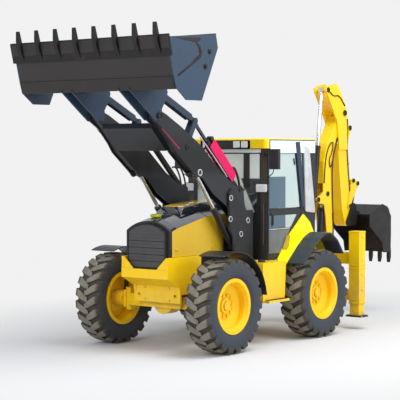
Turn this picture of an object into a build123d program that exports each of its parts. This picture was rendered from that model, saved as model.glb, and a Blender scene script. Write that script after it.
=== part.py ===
from build123d import *
import math
import os

# Backhoe loader, parked with its loader raised and its hoe folded for travel.
# X runs forward, Y to the machine's left, Z up from the floor. Millimetres.

os.makedirs("parts", exist_ok=True)

# Running gear
TYRE_RADIUS = 668.0
TYRE_WIDTH = 420.0
LUG_HEIGHT = 34.0
LUG_PITCHES = 22
LUG_TOP_WIDTH = 46.0
LUG_FOOT_WIDTH = 74.0
LUG_SLANT = 14.0
RIM_WIDTH = 356.0
RIM_FLANGE_RADIUS = 392.0
RIM_SEAT_RADIUS = 356.0
RIM_WALL = 14.0
HUB_RADIUS = 118.0
STUB_RADIUS = 60.0
TRACK = 2006.0
WHEELBASE = 2328.0
FRONT_AXLE_X = 1989.0
KINGPIN_Y = 735.0
KINGPIN_RADIUS = 32.0
AXLE_HALF_HEIGHT = 88.0
FENDER_RADIUS = 752.0
FENDER_WALL = 12.0

# Chassis and cab
RAIL_OUTER_Y = 410.0
RAIL_WALL = 80.0
RAIL_TOP = 950.0
NOSE_HALF_WIDTH = 420.0
HOOD_HALF_WIDTH = 395.0
SHEET = 15.0
CAB_HALF_WIDTH = 750.0
CAB_FLOOR_Z = 1200.0
CAB_ROOF_Z = 3020.0
CAB_WALL = 60.0
GLASS = 8.0
SEAL = 2.0

# Loader
ARM_INNER_Y = 440.0
ARM_OUTER_Y = 590.0
ARM_PLATE = 22.0
BUCKET_HALF_WIDTH = 1380.0
BUCKET_WALL = 16.0
SHELL_WALL = 22.0
LIFT_BORE = 50.0
LIFT_ROD = 30.0
TILT_BORE = 44.0
TILT_ROD = 27.0

# Hoe
LEG_OUTER_Y = 1150.0
LEG_SIZE = 190.0
LEG_WALL = 12.0
BOOM_HALF_WIDTH = 95.0
DIPPER_HALF_WIDTH = 105.0
HOE_BUCKET_HALF_WIDTH = 395.0
SCOOP_WALL = 18.0
HOE_TEETH = 5
PAD_Z = 195.0
PAD_HALF_X = 105.0
PAD_HALF_Y = 150.0

# Clearances
FIT = 0.05
SLIP = 0.3
PIN_SIDE = 1.0
RUN = 6.0

SIDES = (1, -1)
REAR_AXLE_X = FRONT_AXLE_X - WHEELBASE
AXLE_Z = TYRE_RADIUS
WHEEL_Y = TRACK / 2
RAIL_INNER_Y = RAIL_OUTER_Y - RAIL_WALL
ARM_MID_Y = (ARM_INNER_Y + ARM_OUTER_Y) / 2
ARM_GAP_LOW = ARM_INNER_Y + ARM_PLATE
ARM_GAP_HIGH = ARM_OUTER_Y - ARM_PLATE


def fore(dx, z):
    return (FRONT_AXLE_X + dx, z)


def aft(dx, z):
    return (REAR_AXLE_X + dx, z)


def moved(points, origin):
    return [(origin[0] + dx, origin[1] + dz) for dx, dz in points]


def across(y):
    return Plane(origin=(0, y, 0), x_dir=(1, 0, 0), z_dir=(0, -1, 0))


def plate(points, y_low, y_high, mode=Mode.ADD):
    with BuildSketch(across(y_high)) as outline:
        with BuildLine():
            Polyline(*points, close=True)
        make_face()
    extrude(outline.sketch, amount=y_high - y_low, mode=mode)


def softened(rows, close=True):
    """Lines through the rows (x, z, corner radius), with an arc at each corner that has a radius."""
    count = len(rows)
    stops = []
    for place, (x, z, radius) in enumerate(rows):
        corner = Vector(x, z)
        if radius == 0 or (not close and place in (0, count - 1)):
            stops.append((corner, corner, corner))
            continue
        before = Vector(*rows[place - 1][:2]) - corner
        after = Vector(*rows[(place + 1) % count][:2]) - corner
        turn = math.radians(before.get_angle(after))
        setback = radius / math.tan(turn / 2)
        middle = (before.normalized() + after.normalized()).normalized()
        crest = corner + middle * (radius / math.sin(turn / 2) - radius)
        stops.append((corner + before.normalized() * setback, crest, corner + after.normalized() * setback))
    pairs = zip(stops, stops[1:] + stops[:1]) if close else zip(stops[:-1], stops[1:])
    for enter, crest, leave in stops:
        if (leave - enter).length > 0:
            ThreePointArc(enter, crest, leave)
    for here, there in pairs:
        Line(here[2], there[0])


def soft_plate(rows, y_low, y_high, mode=Mode.ADD):
    with BuildSketch(across(y_high)) as outline:
        with BuildLine():
            softened(rows)
        make_face()
    extrude(outline.sketch, amount=y_high - y_low, mode=mode)


def side_soft_plate(side, rows, near, far, mode=Mode.ADD):
    soft_plate(rows, min(side * near, side * far), max(side * near, side * far), mode)


def strip(rows, wall, y_low, y_high, mode=Mode.ADD):
    """Bent sheet: its outer face follows the rows, its wall lies to the left of them."""
    with BuildSketch(across(y_high)) as outline:
        with BuildLine():
            softened(rows, close=False)
            offset(amount=wall, side=Side.LEFT)
        make_face()
    extrude(outline.sketch, amount=y_high - y_low, mode=mode)


def side_plate(side, points, near, far, mode=Mode.ADD):
    plate(points, min(side * near, side * far), max(side * near, side * far), mode)


def bar(start, end, radius, mode=Mode.ADD):
    foot = Vector(*start)
    head = Vector(*end)
    with BuildSketch(Plane(origin=foot, z_dir=(head - foot).normalized())) as ring:
        Circle(radius)
    extrude(ring.sketch, amount=(head - foot).length, mode=mode)


def pin(center, y_low, y_high, radius, mode=Mode.ADD):
    bar((center[0], y_low, center[1]), (center[0], y_high, center[1]), radius, mode)


def side_pin(side, center, near, far, radius, mode=Mode.ADD):
    pin(center, min(side * near, side * far), max(side * near, side * far), radius, mode)


def block(x, y, z, mode=Mode.ADD):
    with Locations(((x[0] + x[1]) / 2, (y[0] + y[1]) / 2, (z[0] + z[1]) / 2)):
        Box(abs(x[1] - x[0]), abs(y[1] - y[0]), abs(z[1] - z[0]), mode=mode)


def side_block(side, x, y, z, mode=Mode.ADD):
    block(x, (side * y[0], side * y[1]), z, mode)


def turned(profile, center, mode=Mode.ADD):
    with BuildSketch(Plane(origin=(center[0], 0, center[1]), x_dir=(0, 1, 0), z_dir=(1, 0, 0))) as half:
        with BuildLine():
            Polyline(*profile, close=True)
        make_face()
    revolve(half.sketch, axis=Axis((center[0], 0, center[1]), (0, 1, 0)), mode=mode)


def between(start, end, share):
    return (start[0] + (end[0] - start[0]) * share, start[1] + (end[1] - start[1]) * share)


def along(start, end, distance):
    length = math.dist(start, end)
    return between(start, end, distance / length)


# Wheels: rim with a deep dish, and its tyre
FRONT = (FRONT_AXLE_X, AXLE_Z)
REAR = (REAR_AXLE_X, AXLE_Z)
WHEELS = (
    # name, centre, side
    ("front_left", FRONT, 1),
    ("front_right", FRONT, -1),
    ("rear_left", REAR, 1),
    ("rear_right", REAR, -1),
)
HUB_FACE_Y = WHEEL_Y - 10.0
DISC = 16.0
STUB_END_Y = WHEEL_Y + 60.0

# One tyre about its own centre. Its tread is two rows of slanted lugs, half a pitch apart, that
# meet in a valley on the centre line; the carcass and sidewalls are facets, two to a pitch.
CARCASS_RADIUS = TYRE_RADIUS - LUG_HEIGHT
LUG_PITCH = 360 / LUG_PITCHES
lug_top = math.degrees(LUG_TOP_WIDTH / 2 / TYRE_RADIUS)
lug_foot = math.degrees(LUG_FOOT_WIDTH / 2 / TYRE_RADIUS)
bead_y = RIM_WIDTH / 2 - RIM_WALL - SLIP
bore_radius = (RIM_SEAT_RADIUS + SLIP) / math.cos(math.radians(LUG_PITCH / 4))
SIDEWALL = (
    # y, radius
    (TYRE_WIDTH / 2, CARCASS_RADIUS - 70),
    (TYRE_WIDTH / 2, RIM_SEAT_RADIUS + 120),
    (bead_y, RIM_FLANGE_RADIUS + 12),
    (bead_y, bore_radius),
)
LUG_ENDS = (
    # y of the foot, radius of the foot, y of the top, radius of the top, lag in degrees
    (26.0, CARCASS_RADIUS, 16.0, TYRE_RADIUS, 0.0),
    (TYRE_WIDTH / 2 - 12, CARCASS_RADIUS - 32, TYRE_WIDTH / 2 - 2, TYRE_RADIUS - 20, LUG_SLANT),
)


def on_tyre(y, radius, angle):
    turn = math.radians(angle)
    return Vector(radius * math.sin(turn), y, radius * math.cos(turn))


def smooth_ring(y, radius, lag=0.0):
    return [on_tyre(y, radius, step * LUG_PITCH / 2 - lug_top - lag) for step in range(2 * LUG_PITCHES)]


def lug_ring(hand, end):
    foot_y, foot_radius, top_y, top_radius, lag = end
    ring = []
    for place in range(LUG_PITCHES):
        middle = (place + (0 if hand > 0 else 0.5)) * LUG_PITCH - lug_top - lag
        ring.append((on_tyre(hand * foot_y, foot_radius, middle - lug_foot),
                     on_tyre(hand * top_y, top_radius, middle - lug_top),
                     on_tyre(hand * top_y, top_radius, middle + lug_top),
                     on_tyre(hand * foot_y, foot_radius, middle + lug_foot)))
    return ring


facets = []
valley = smooth_ring(0, CARCASS_RADIUS)
for hand in SIDES:
    inner, outer = (lug_ring(hand, end) for end in LUG_ENDS)
    walls = [smooth_ring(hand * y, radius, LUG_SLANT) for y, radius in SIDEWALL]
    shift = 0 if hand > 0 else 1
    for place in range(LUG_PITCHES):
        after = (place + 1) % LUG_PITCHES
        for lugs, ring in ((inner, valley), (outer, walls[0])):
            low, high = ring[(2 * place + shift) % len(ring)], ring[(2 * place + 1 + shift) % len(ring)]
            next_low = ring[(2 * place + 2 + shift) % len(ring)]
            foot_start, top_start, top_end, foot_end = lugs[place]
            next_foot = lugs[after][0]
            facets += [(foot_start, top_start, low), (top_start, top_end, low), (top_end, foot_end, low),
                       (foot_end, high, low), (foot_end, next_foot, high), (next_foot, next_low, high)]
        here, there = inner[place] + inner[after][:1], outer[place] + outer[after][:1]
        for step in range(4):
            facets += [(here[step], here[step + 1], there[step]),
                       (here[step + 1], there[step + 1], there[step])]
    for wall, next_wall in zip(walls[:-1], walls[1:]):
        for step in range(len(wall)):
            facets.append((wall[step], wall[step - 1], next_wall[step - 1], next_wall[step]))
left_bore, right_bore = (smooth_ring(hand * bead_y, bore_radius, LUG_SLANT) for hand in SIDES)
for step in range(len(left_bore)):
    facets.append((left_bore[step], left_bore[step - 1], right_bore[step - 1], right_bore[step]))
lugged_tyre = Solid(Shell([Face(Wire.make_polygon(facet)) for facet in facets]))

for name, center, side in WHEELS:
    half = RIM_WIDTH / 2
    seat = RIM_SEAT_RADIUS
    with BuildPart() as rim:
        rim_profile = (
            (side * (WHEEL_Y + half), RIM_FLANGE_RADIUS),
            (side * (WHEEL_Y + half), seat - RIM_WALL),
            (side * (WHEEL_Y + half - 60), seat - RIM_WALL - 26),
            (side * (WHEEL_Y - half + 60), seat - RIM_WALL - 26),
            (side * (WHEEL_Y - half), seat - RIM_WALL),
            (side * (WHEEL_Y - half), RIM_FLANGE_RADIUS),
            (side * (WHEEL_Y - half + RIM_WALL), RIM_FLANGE_RADIUS),
            (side * (WHEEL_Y - half + RIM_WALL), seat),
            (side * (WHEEL_Y - half + 66), seat - 26),
            (side * (WHEEL_Y + half - 66), seat - 26),
            (side * (WHEEL_Y + half - RIM_WALL), seat),
            (side * (WHEEL_Y + half - RIM_WALL), RIM_FLANGE_RADIUS),
        )
        turned(rim_profile, center)
        disc_profile = (
            (side * HUB_FACE_Y, STUB_RADIUS + FIT),
            (side * HUB_FACE_Y, 190),
            (side * (HUB_FACE_Y + 42), seat - RIM_WALL - 20),
            (side * (HUB_FACE_Y + 42 + DISC), seat - RIM_WALL - 20),
            (side * (HUB_FACE_Y + DISC), 196),
            (side * (HUB_FACE_Y + DISC), STUB_RADIUS + FIT),
        )
        turned(disc_profile, center)
    rim.part.label = "rim_" + name
    export_step(rim.part, "parts/rim_" + name + ".step")

    tyre = lugged_tyre.moved(Location((center[0], side * WHEEL_Y, center[1])))
    tyre.label = "tyre_" + name
    export_step(tyre, "parts/tyre_" + name + ".step")

# Steering knuckles, each with its kingpins and the stub its wheel turns on
YOKE_GAP = 128.0
YOKE_LUG = 34.0
KNUCKLE_FACE_Y = KINGPIN_Y + 50.0
KNUCKLE_POST_RADIUS = 48.0
YOKE_END_RADIUS = 44.0
for name, center, side in WHEELS[:2]:
    x, z = center
    with BuildPart() as knuckle:
        side_block(side, (x - 62, x + 62), (KINGPIN_Y, KNUCKLE_FACE_Y),
                   (z - YOKE_GAP + PIN_SIDE, z + YOKE_GAP - PIN_SIDE))
        bar((x, side * KINGPIN_Y, z - YOKE_GAP + PIN_SIDE), (x, side * KINGPIN_Y, z + YOKE_GAP - PIN_SIDE),
            KNUCKLE_POST_RADIUS)
        for end in (1, -1):
            bar((x, side * KINGPIN_Y, z + end * (YOKE_GAP - 20)),
                (x, side * KINGPIN_Y, z + end * (YOKE_GAP + YOKE_LUG)), KINGPIN_RADIUS)
        side_pin(side, center, KNUCKLE_FACE_Y - 10, HUB_FACE_Y - PIN_SIDE, HUB_RADIUS)
        side_pin(side, center, HUB_FACE_Y - 10, STUB_END_Y, STUB_RADIUS)
        side_block(side, (x - 190, x - 30), (KINGPIN_Y - 4, KINGPIN_Y + 30), (z - 60, z - 34))
    knuckle.part.label = "knuckle_" + name
    export_step(knuckle.part, "parts/knuckle_" + name + ".step")

    FENDER_INNER_Y = WHEEL_Y - TYRE_WIDTH / 2 - 14
    FENDER_OUTER_Y = WHEEL_Y + TYRE_WIDTH / 2
    with BuildPart() as front_fender:
        with BuildSketch(across(max(side * FENDER_INNER_Y, side * FENDER_OUTER_Y))) as arch:
            with BuildLine():
                CenterArc((x, z), FENDER_RADIUS + FENDER_WALL, 68, 104)
                CenterArc((x, z), FENDER_RADIUS, 68, 104)
                Line((x + (FENDER_RADIUS + FENDER_WALL) * math.cos(math.radians(68)),
                      z + (FENDER_RADIUS + FENDER_WALL) * math.sin(math.radians(68))),
                     (x + FENDER_RADIUS * math.cos(math.radians(68)),
                      z + FENDER_RADIUS * math.sin(math.radians(68))))
                Line((x + (FENDER_RADIUS + FENDER_WALL) * math.cos(math.radians(172)),
                      z + (FENDER_RADIUS + FENDER_WALL) * math.sin(math.radians(172))),
                     (x + FENDER_RADIUS * math.cos(math.radians(172)),
                      z + FENDER_RADIUS * math.sin(math.radians(172))))
            make_face()
        extrude(arch.sketch, amount=FENDER_OUTER_Y - FENDER_INNER_Y)
        stay = ((x - 50, z + HUB_RADIUS + 10), (x + 50, z + HUB_RADIUS + 10),
                (x - 20, z + FENDER_RADIUS + 4), (x - 150, z + FENDER_RADIUS - 18))
        side_plate(side, stay, KNUCKLE_FACE_Y, KNUCKLE_FACE_Y + 8)
        stay_foot = ((x - 60, z + HUB_RADIUS - 60), (x + 60, z + HUB_RADIUS - 60),
                     (x + 60, z + HUB_RADIUS + 30), (x - 60, z + HUB_RADIUS + 30))
        side_plate(side, stay_foot, KNUCKLE_FACE_Y, KNUCKLE_FACE_Y + 8)
        side_pin(side, center, KNUCKLE_FACE_Y - 1, KNUCKLE_FACE_Y + 9, HUB_RADIUS + SLIP, Mode.SUBTRACT)
    front_fender.part.label = "fender_" + name
    export_step(front_fender.part, "parts/fender_" + name + ".step")

# Front axle: oscillating beam with the yokes the knuckles turn in
YOKE_ROOT_Y = KINGPIN_Y - 48 - 8
TRUNNION_RADIUS = 55.0
TRUNNION_FACE = 118.0
BRACKET_WALL = 40.0
with BuildPart() as front_axle:
    block((FRONT_AXLE_X - 95, FRONT_AXLE_X + 95), (-YOKE_ROOT_Y, YOKE_ROOT_Y),
          (AXLE_Z - AXLE_HALF_HEIGHT, AXLE_Z + AXLE_HALF_HEIGHT))
    bar((FRONT_AXLE_X - TRUNNION_FACE + PIN_SIDE, 0, AXLE_Z),
        (FRONT_AXLE_X + TRUNNION_FACE - PIN_SIDE, 0, AXLE_Z), 175)
    bar((FRONT_AXLE_X - TRUNNION_FACE - BRACKET_WALL, 0, AXLE_Z),
        (FRONT_AXLE_X + TRUNNION_FACE + BRACKET_WALL, 0, AXLE_Z), TRUNNION_RADIUS)
    for side in SIDES:
        side_block(side, (FRONT_AXLE_X - 62, FRONT_AXLE_X + 62), (YOKE_ROOT_Y - 30, YOKE_ROOT_Y),
                   (AXLE_Z - YOKE_GAP - YOKE_LUG, AXLE_Z + YOKE_GAP + YOKE_LUG))
        for end in (1, -1):
            side_block(side, (FRONT_AXLE_X - YOKE_END_RADIUS, FRONT_AXLE_X + YOKE_END_RADIUS),
                       (YOKE_ROOT_Y - 30, KINGPIN_Y),
                       (AXLE_Z + end * YOKE_GAP, AXLE_Z + end * (YOKE_GAP + YOKE_LUG)))
            bar((FRONT_AXLE_X, side * KINGPIN_Y, AXLE_Z + end * YOKE_GAP),
                (FRONT_AXLE_X, side * KINGPIN_Y, AXLE_Z + end * (YOKE_GAP + YOKE_LUG)), YOKE_END_RADIUS)
        bar((FRONT_AXLE_X, side * KINGPIN_Y, AXLE_Z - YOKE_GAP - YOKE_LUG - 1),
            (FRONT_AXLE_X, side * KINGPIN_Y, AXLE_Z + YOKE_GAP + YOKE_LUG + 1),
            KINGPIN_RADIUS + FIT, Mode.SUBTRACT)
front_axle.part.label = "front_axle"
export_step(front_axle.part, "parts/front_axle.step")

# Rear axle: rigid beam, diff housing and wheel hubs
RAIL_ARCH_Z = 800.0
with BuildPart() as rear_axle:
    block((REAR_AXLE_X - 95, REAR_AXLE_X + 95), (-KINGPIN_Y, KINGPIN_Y),
          (AXLE_Z - AXLE_HALF_HEIGHT, AXLE_Z + AXLE_HALF_HEIGHT))
    with Locations((REAR_AXLE_X, 0, AXLE_Z)):
        Sphere(205)
    for side in SIDES:
        side_block(side, (REAR_AXLE_X - 95, REAR_AXLE_X + 95), (RAIL_INNER_Y, RAIL_OUTER_Y),
                   (AXLE_Z, RAIL_ARCH_Z))
        side_pin(side, REAR, KINGPIN_Y - 20, HUB_FACE_Y - PIN_SIDE, HUB_RADIUS)
        side_pin(side, REAR, HUB_FACE_Y - 10, STUB_END_Y, STUB_RADIUS)
rear_axle.part.label = "rear_axle"
export_step(rear_axle.part, "parts/rear_axle.step")

# Main frame: two rails, nose, loader outriggers
FRAME_REAR_X = REAR_AXLE_X - 1150.0
NOSE_X = FRONT_AXLE_X + 535.0
PLATE_X = FRONT_AXLE_X + 250.0
TOW_HOLE_Y = 327.0
TOW_HOLE_Z = 778.0
TOW_HOLE_RADIUS = 22.0
PIVOT_X = FRONT_AXLE_X - 1110.0
TOWER_REAR_X = PIVOT_X - 140.0
TOWER_FRONT_X = PIVOT_X + 330.0
TOWER_OUTER_Y = ARM_OUTER_Y + RUN + 20.0
TANK_INNER_Y = TOWER_OUTER_Y + 10.0
TANK_OUTER_Y = 1000.0
TANK_FRONT_X = FRONT_AXLE_X - 960.0
TANK_REAR_X = FRONT_AXLE_X - 1560.0
with BuildPart() as main_frame:
    rail = (
        fore(250, RAIL_TOP), fore(250, RAIL_ARCH_Z), fore(-470, RAIL_ARCH_Z), fore(-560, 620),
        aft(300, 620), aft(210, RAIL_ARCH_Z), aft(-210, RAIL_ARCH_Z), aft(-300, 620),
        (FRAME_REAR_X, 620), (FRAME_REAR_X, RAIL_TOP),
    )
    cheek = (fore(-240, 1335), fore(530, 1335), fore(530, 1040), fore(270, 905),
             fore(250, RAIL_ARCH_Z), fore(-240, RAIL_ARCH_Z))
    for side in SIDES:
        side_plate(side, rail, RAIL_INNER_Y, RAIL_OUTER_Y)
        side_plate(side, cheek, NOSE_HALF_WIDTH - 40, NOSE_HALF_WIDTH)
        side_block(side, (TOWER_REAR_X, TOWER_FRONT_X), (RAIL_INNER_Y, TOWER_OUTER_Y), (870, RAIL_TOP))
    block((NOSE_X - 95, NOSE_X), (-NOSE_HALF_WIDTH, NOSE_HALF_WIDTH), (1036, 1165))
    slope = (fore(530, 1040), fore(530, 1060), fore(250, 925), fore(250, 905))
    plate(slope, -NOSE_HALF_WIDTH, NOSE_HALF_WIDTH)
    block((PLATE_X - 30, PLATE_X), (-NOSE_HALF_WIDTH, NOSE_HALF_WIDTH), (675, 925))
    for side in SIDES:
        bar((PLATE_X - 60, side * TOW_HOLE_Y, TOW_HOLE_Z), (PLATE_X + 10, side * TOW_HOLE_Y, TOW_HOLE_Z),
            TOW_HOLE_RADIUS, Mode.SUBTRACT)
    for end in (1, -1):
        face = FRONT_AXLE_X + end * TRUNNION_FACE
        block((face, face + end * BRACKET_WALL), (-RAIL_INNER_Y - 20, RAIL_INNER_Y + 20), (590, 890))
    bar((FRONT_AXLE_X - 200, 0, AXLE_Z), (FRONT_AXLE_X + 200, 0, AXLE_Z), TRUNNION_RADIUS + FIT, Mode.SUBTRACT)
    block(aft(620, 0)[:1] + aft(520, 0)[:1], (-RAIL_OUTER_Y, RAIL_OUTER_Y), (640, 850))
    block((FRAME_REAR_X, FRAME_REAR_X + 60), (-RAIL_OUTER_Y, RAIL_OUTER_Y), (620, RAIL_TOP))
    for side in SIDES:
        for start in (-1500, -2080):
            side_block(side, (FRONT_AXLE_X + start - 50, FRONT_AXLE_X + start + 50),
                       (RAIL_INNER_Y, RAIL_OUTER_Y), (RAIL_TOP - 10, CAB_FLOOR_Z))
main_frame.part.label = "main_frame"
export_step(main_frame.part, "parts/main_frame.step")

# Side tanks, each with its step board and the bracket that seats on the rail
with BuildPart() as side_tanks:
    tank = ((TANK_FRONT_X, 1200), (TANK_REAR_X, 1200), (TANK_REAR_X + 30, 690),
            (TANK_REAR_X + 60, 620), (TANK_FRONT_X - 20, 620), (TANK_FRONT_X, 660))
    for side in SIDES:
        side_plate(side, tank, TANK_INNER_Y, TANK_OUTER_Y)
        side_block(side, (TANK_REAR_X + 40, TANK_FRONT_X - 30), (TANK_OUTER_Y - 20, TANK_OUTER_Y + 90),
                   (620, 655))
        side_block(side, (TANK_REAR_X + 80, TANK_FRONT_X - 60), (RAIL_OUTER_Y, TANK_INNER_Y + 10),
                   (660, 850))
side_tanks.part.label = "side_tanks"
export_step(side_tanks.part, "parts/side_tanks.step")

# Engine, one plain block at its real place
ENGINE_Z = AXLE_Z + 175 + 40
with BuildPart() as engine_block:
    block((FRONT_AXLE_X - 1080, FRONT_AXLE_X + 150), (-RAIL_INNER_Y, RAIL_INNER_Y), (ENGINE_Z + 10, 1620))
engine_block.part.label = "engine_block"
export_step(engine_block.part, "parts/engine_block.step")

# Bonnet: yellow sides, black top and nose, grille
HINGE = fore(-1270, 1885)
HINGE_RADIUS = 12.0
HOOD_SIDE = (fore(400, 1340), fore(400, 1700), fore(300, 1735), fore(-400, 1888), fore(-1230, 1930),
             fore(-1230, 1340))
with BuildPart() as hood_panels:
    for side in SIDES:
        side_plate(side, HOOD_SIDE, HOOD_HALF_WIDTH - SHEET, HOOD_HALF_WIDTH)
hood_panels.part.label = "hood_panels"
export_step(hood_panels.part, "parts/hood_panels.step")

HOOD_SECTIONS = (
    # x from the front axle, edge height, crown height
    (400, 1700, 1842),
    (300, 1735, 1880),
    (-400, 1888, 1985),
    (-1230, 1930, 2020),
)
with BuildPart() as hood_cover:
    for near, far in zip(HOOD_SECTIONS[:-1], HOOD_SECTIONS[1:]):
        for dx, edge, crown in (near, far):
            with BuildSketch(Plane(origin=(FRONT_AXLE_X + dx, 0, 0), x_dir=(0, 1, 0), z_dir=(1, 0, 0))):
                with BuildLine():
                    Polyline((HOOD_HALF_WIDTH, edge), (-HOOD_HALF_WIDTH, edge))
                    ThreePointArc((-HOOD_HALF_WIDTH, edge), (0, crown), (HOOD_HALF_WIDTH, edge))
                make_face()
        loft()
    for side in SIDES:
        side_block(side, (HINGE[0] - 22, HINGE[0] + 50), (300, 330), (HINGE[1] - 22, HINGE[1] + 50))
        side_pin(side, HINGE, 290, 340, HINGE_RADIUS + FIT, Mode.SUBTRACT)
hood_cover.part.label = "hood_cover"
export_step(hood_cover.part, "parts/hood_cover.step")

GRILLE_RIM = 26.0
GRILLE_SLATS = 7
GRILLE_PITCH = 60.0
with BuildPart() as grille:
    with BuildSketch(Plane(origin=(FRONT_AXLE_X + 400, 0, 0), x_dir=(0, 1, 0), z_dir=(1, 0, 0))):
        with BuildLine():
            Polyline((-HOOD_HALF_WIDTH, 1700), (-HOOD_HALF_WIDTH, 1342), (-370, 1342), (-370, 1172),
                     (370, 1172), (370, 1342), (HOOD_HALF_WIDTH, 1342), (HOOD_HALF_WIDTH, 1700))
            ThreePointArc((HOOD_HALF_WIDTH, 1700), (0, 1842), (-HOOD_HALF_WIDTH, 1700))
        make_face()
    extrude(amount=50)
    for reach, depth, mode in ((0, 34, Mode.ADD), (GRILLE_RIM, -30, Mode.SUBTRACT)):
        face_x = FRONT_AXLE_X + 450 + (34 if reach else 0)
        with BuildSketch(Plane(origin=(face_x, 0, 0), x_dir=(0, 1, 0), z_dir=(1, 0, 0))):
            with BuildLine():
                Polyline((-310 + reach, 1640), (-310 + reach, 1230), (-250 + reach, 1172 + reach),
                         (250 - reach, 1172 + reach), (310 - reach, 1230), (310 - reach, 1640))
                ThreePointArc((310 - reach, 1640), (0, 1790 - reach), (-310 + reach, 1640))
            make_face()
        extrude(amount=depth, mode=mode)
    for place in range(GRILLE_SLATS):
        z = 1262 + place * GRILLE_PITCH
        slat = (fore(452, z - 8), fore(478, z - 26), fore(478, z - 6), fore(452, z + 12))
        plate(slat, -310 + GRILLE_RIM - 1, 310 - GRILLE_RIM + 1)
grille.part.label = "grille"
export_step(grille.part, "parts/grille.step")

# Loader towers, one each side
LOADER_PIVOT = (PIVOT_X, 1810.0)
LIFT_BASE = (PIVOT_X + 230, 1415.0)
PIVOT_RADIUS = 38.0
LIFT_PIN = 28.0
TOWER_OUTLINE = ((TOWER_REAR_X, RAIL_TOP), (TOWER_FRONT_X, RAIL_TOP), (PIVOT_X + 360, 1560),
                 (PIVOT_X + 470, 1700), (PIVOT_X + 470, 2220), (PIVOT_X + 390, 2290),
                 (PIVOT_X + 330, 2250), (PIVOT_X + 60, 1960), (TOWER_REAR_X, 1960))
TOWER_INNER = ((TOWER_REAR_X, RAIL_TOP), (TOWER_FRONT_X, RAIL_TOP), (PIVOT_X + 340, 1560),
               (PIVOT_X + 80, 1960), (TOWER_REAR_X, 1960))
with BuildPart() as loader_towers:
    for side in SIDES:
        side_plate(side, TOWER_OUTLINE, ARM_OUTER_Y + RUN, TOWER_OUTER_Y)
        side_plate(side, TOWER_INNER, ARM_INNER_Y - RUN - 16, ARM_INNER_Y - RUN)
        side_block(side, (TOWER_REAR_X, TOWER_REAR_X + 25), (ARM_INNER_Y - RUN - 16, TOWER_OUTER_Y),
                   (RAIL_TOP, 1560))
        side_block(side, (TOWER_REAR_X, TOWER_FRONT_X), (ARM_INNER_Y - RUN - 16, TOWER_OUTER_Y),
                   (RAIL_TOP, RAIL_TOP + 30))
        side_pin(side, LOADER_PIVOT, ARM_INNER_Y - RUN - 18, TOWER_OUTER_Y + 8, PIVOT_RADIUS)
        side_pin(side, LIFT_BASE, ARM_INNER_Y - RUN - 18, TOWER_OUTER_Y + 8, LIFT_PIN)
loader_towers.part.label = "loader_towers"
export_step(loader_towers.part, "parts/loader_towers.step")

# Loader arms, joined by a cross beam
BUCKET_PIN = (PIVOT_X + 2071, 3306.0)
LIFT_HEAD = (PIVOT_X + 1130, 2526.0)
LEVER_PIN = (PIVOT_X + 1410, 2880.0)
TILT_BASE = (PIVOT_X + 140, 2270.0)
ARM_PIN = 30.0
ARM_OUTLINE = [(LOADER_PIVOT[0] + dx, LOADER_PIVOT[1] + dz, bend) for dx, dz, bend in (
    # x and z from the pivot, corner radius; from the nose back over the top, and home below
    (2152, 1440, 55), (2148, 1590, 75), (2020, 1572, 60), (1880, 1518, 250), (1560, 1360, 600),
    (1100, 1100, 700), (600, 700, 500), (255, 505, 120), (140, 525, 50), (72, 470, 50),
    (30, 200, 260), (-92, 45, 60), (-95, -75, 70), (60, -84, 60), (490, 224, 500),
    (820, 420, 420), (1040, 630, 120), (1120, 664, 30), (1200, 636, 45), (1290, 720, 120),
    (1660, 1000, 260), (1750, 1120, 200), (1960, 1330, 300))]
ARM_WEB = moved((
    (2071 + 40, 1496 - 30), (2071 + 40, 1496 + 14), (1960, 1460), (1800, 1370), (1700, 1260),
    (1560, 1100), (1480, 1000), (1300, 950), (1180, 900), (1020, 850), (700, 590), (440, 420),
    (330, 300), (560, 330), (700, 482), (820, 592), (1000, 778), (1080, 838), (1180, 838), (1240, 775),
    (1290, 745), (1640, 1010), (1735, 1130), (1950, 1345)), LOADER_PIVOT)
with BuildPart() as loader_arms:
    for side in SIDES:
        side_soft_plate(side, ARM_OUTLINE, ARM_INNER_Y, ARM_GAP_LOW)
        side_soft_plate(side, ARM_OUTLINE, ARM_GAP_HIGH, ARM_OUTER_Y)
        side_plate(side, ARM_WEB, ARM_INNER_Y, ARM_OUTER_Y)
        side_pin(side, LOADER_PIVOT, ARM_INNER_Y, ARM_OUTER_Y, 72)
        side_pin(side, BUCKET_PIN, ARM_INNER_Y, ARM_GAP_LOW + 6, 62)
        side_pin(side, BUCKET_PIN, ARM_GAP_HIGH - 6, ARM_OUTER_Y, 62)
        side_pin(side, LOADER_PIVOT, ARM_INNER_Y - 1, ARM_OUTER_Y + 1, PIVOT_RADIUS + FIT, Mode.SUBTRACT)
        side_pin(side, BUCKET_PIN, ARM_INNER_Y - 1, ARM_OUTER_Y + 1, ARM_PIN + FIT, Mode.SUBTRACT)
        for point, radius in ((LEVER_PIN, ARM_PIN), (TILT_BASE, LIFT_PIN)):
            side_pin(side, point, ARM_INNER_Y, ARM_OUTER_Y, radius)
    cross = moved(((2030, 1330), (1990, 1400), (1840, 1330), (1640, 1050), (1700, 1020)), LOADER_PIVOT)
    plate(cross, -ARM_INNER_Y - 5, ARM_INNER_Y + 5)
loader_arms.part.label = "loader_arms"
export_step(loader_arms.part, "parts/loader_arms.step")

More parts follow.
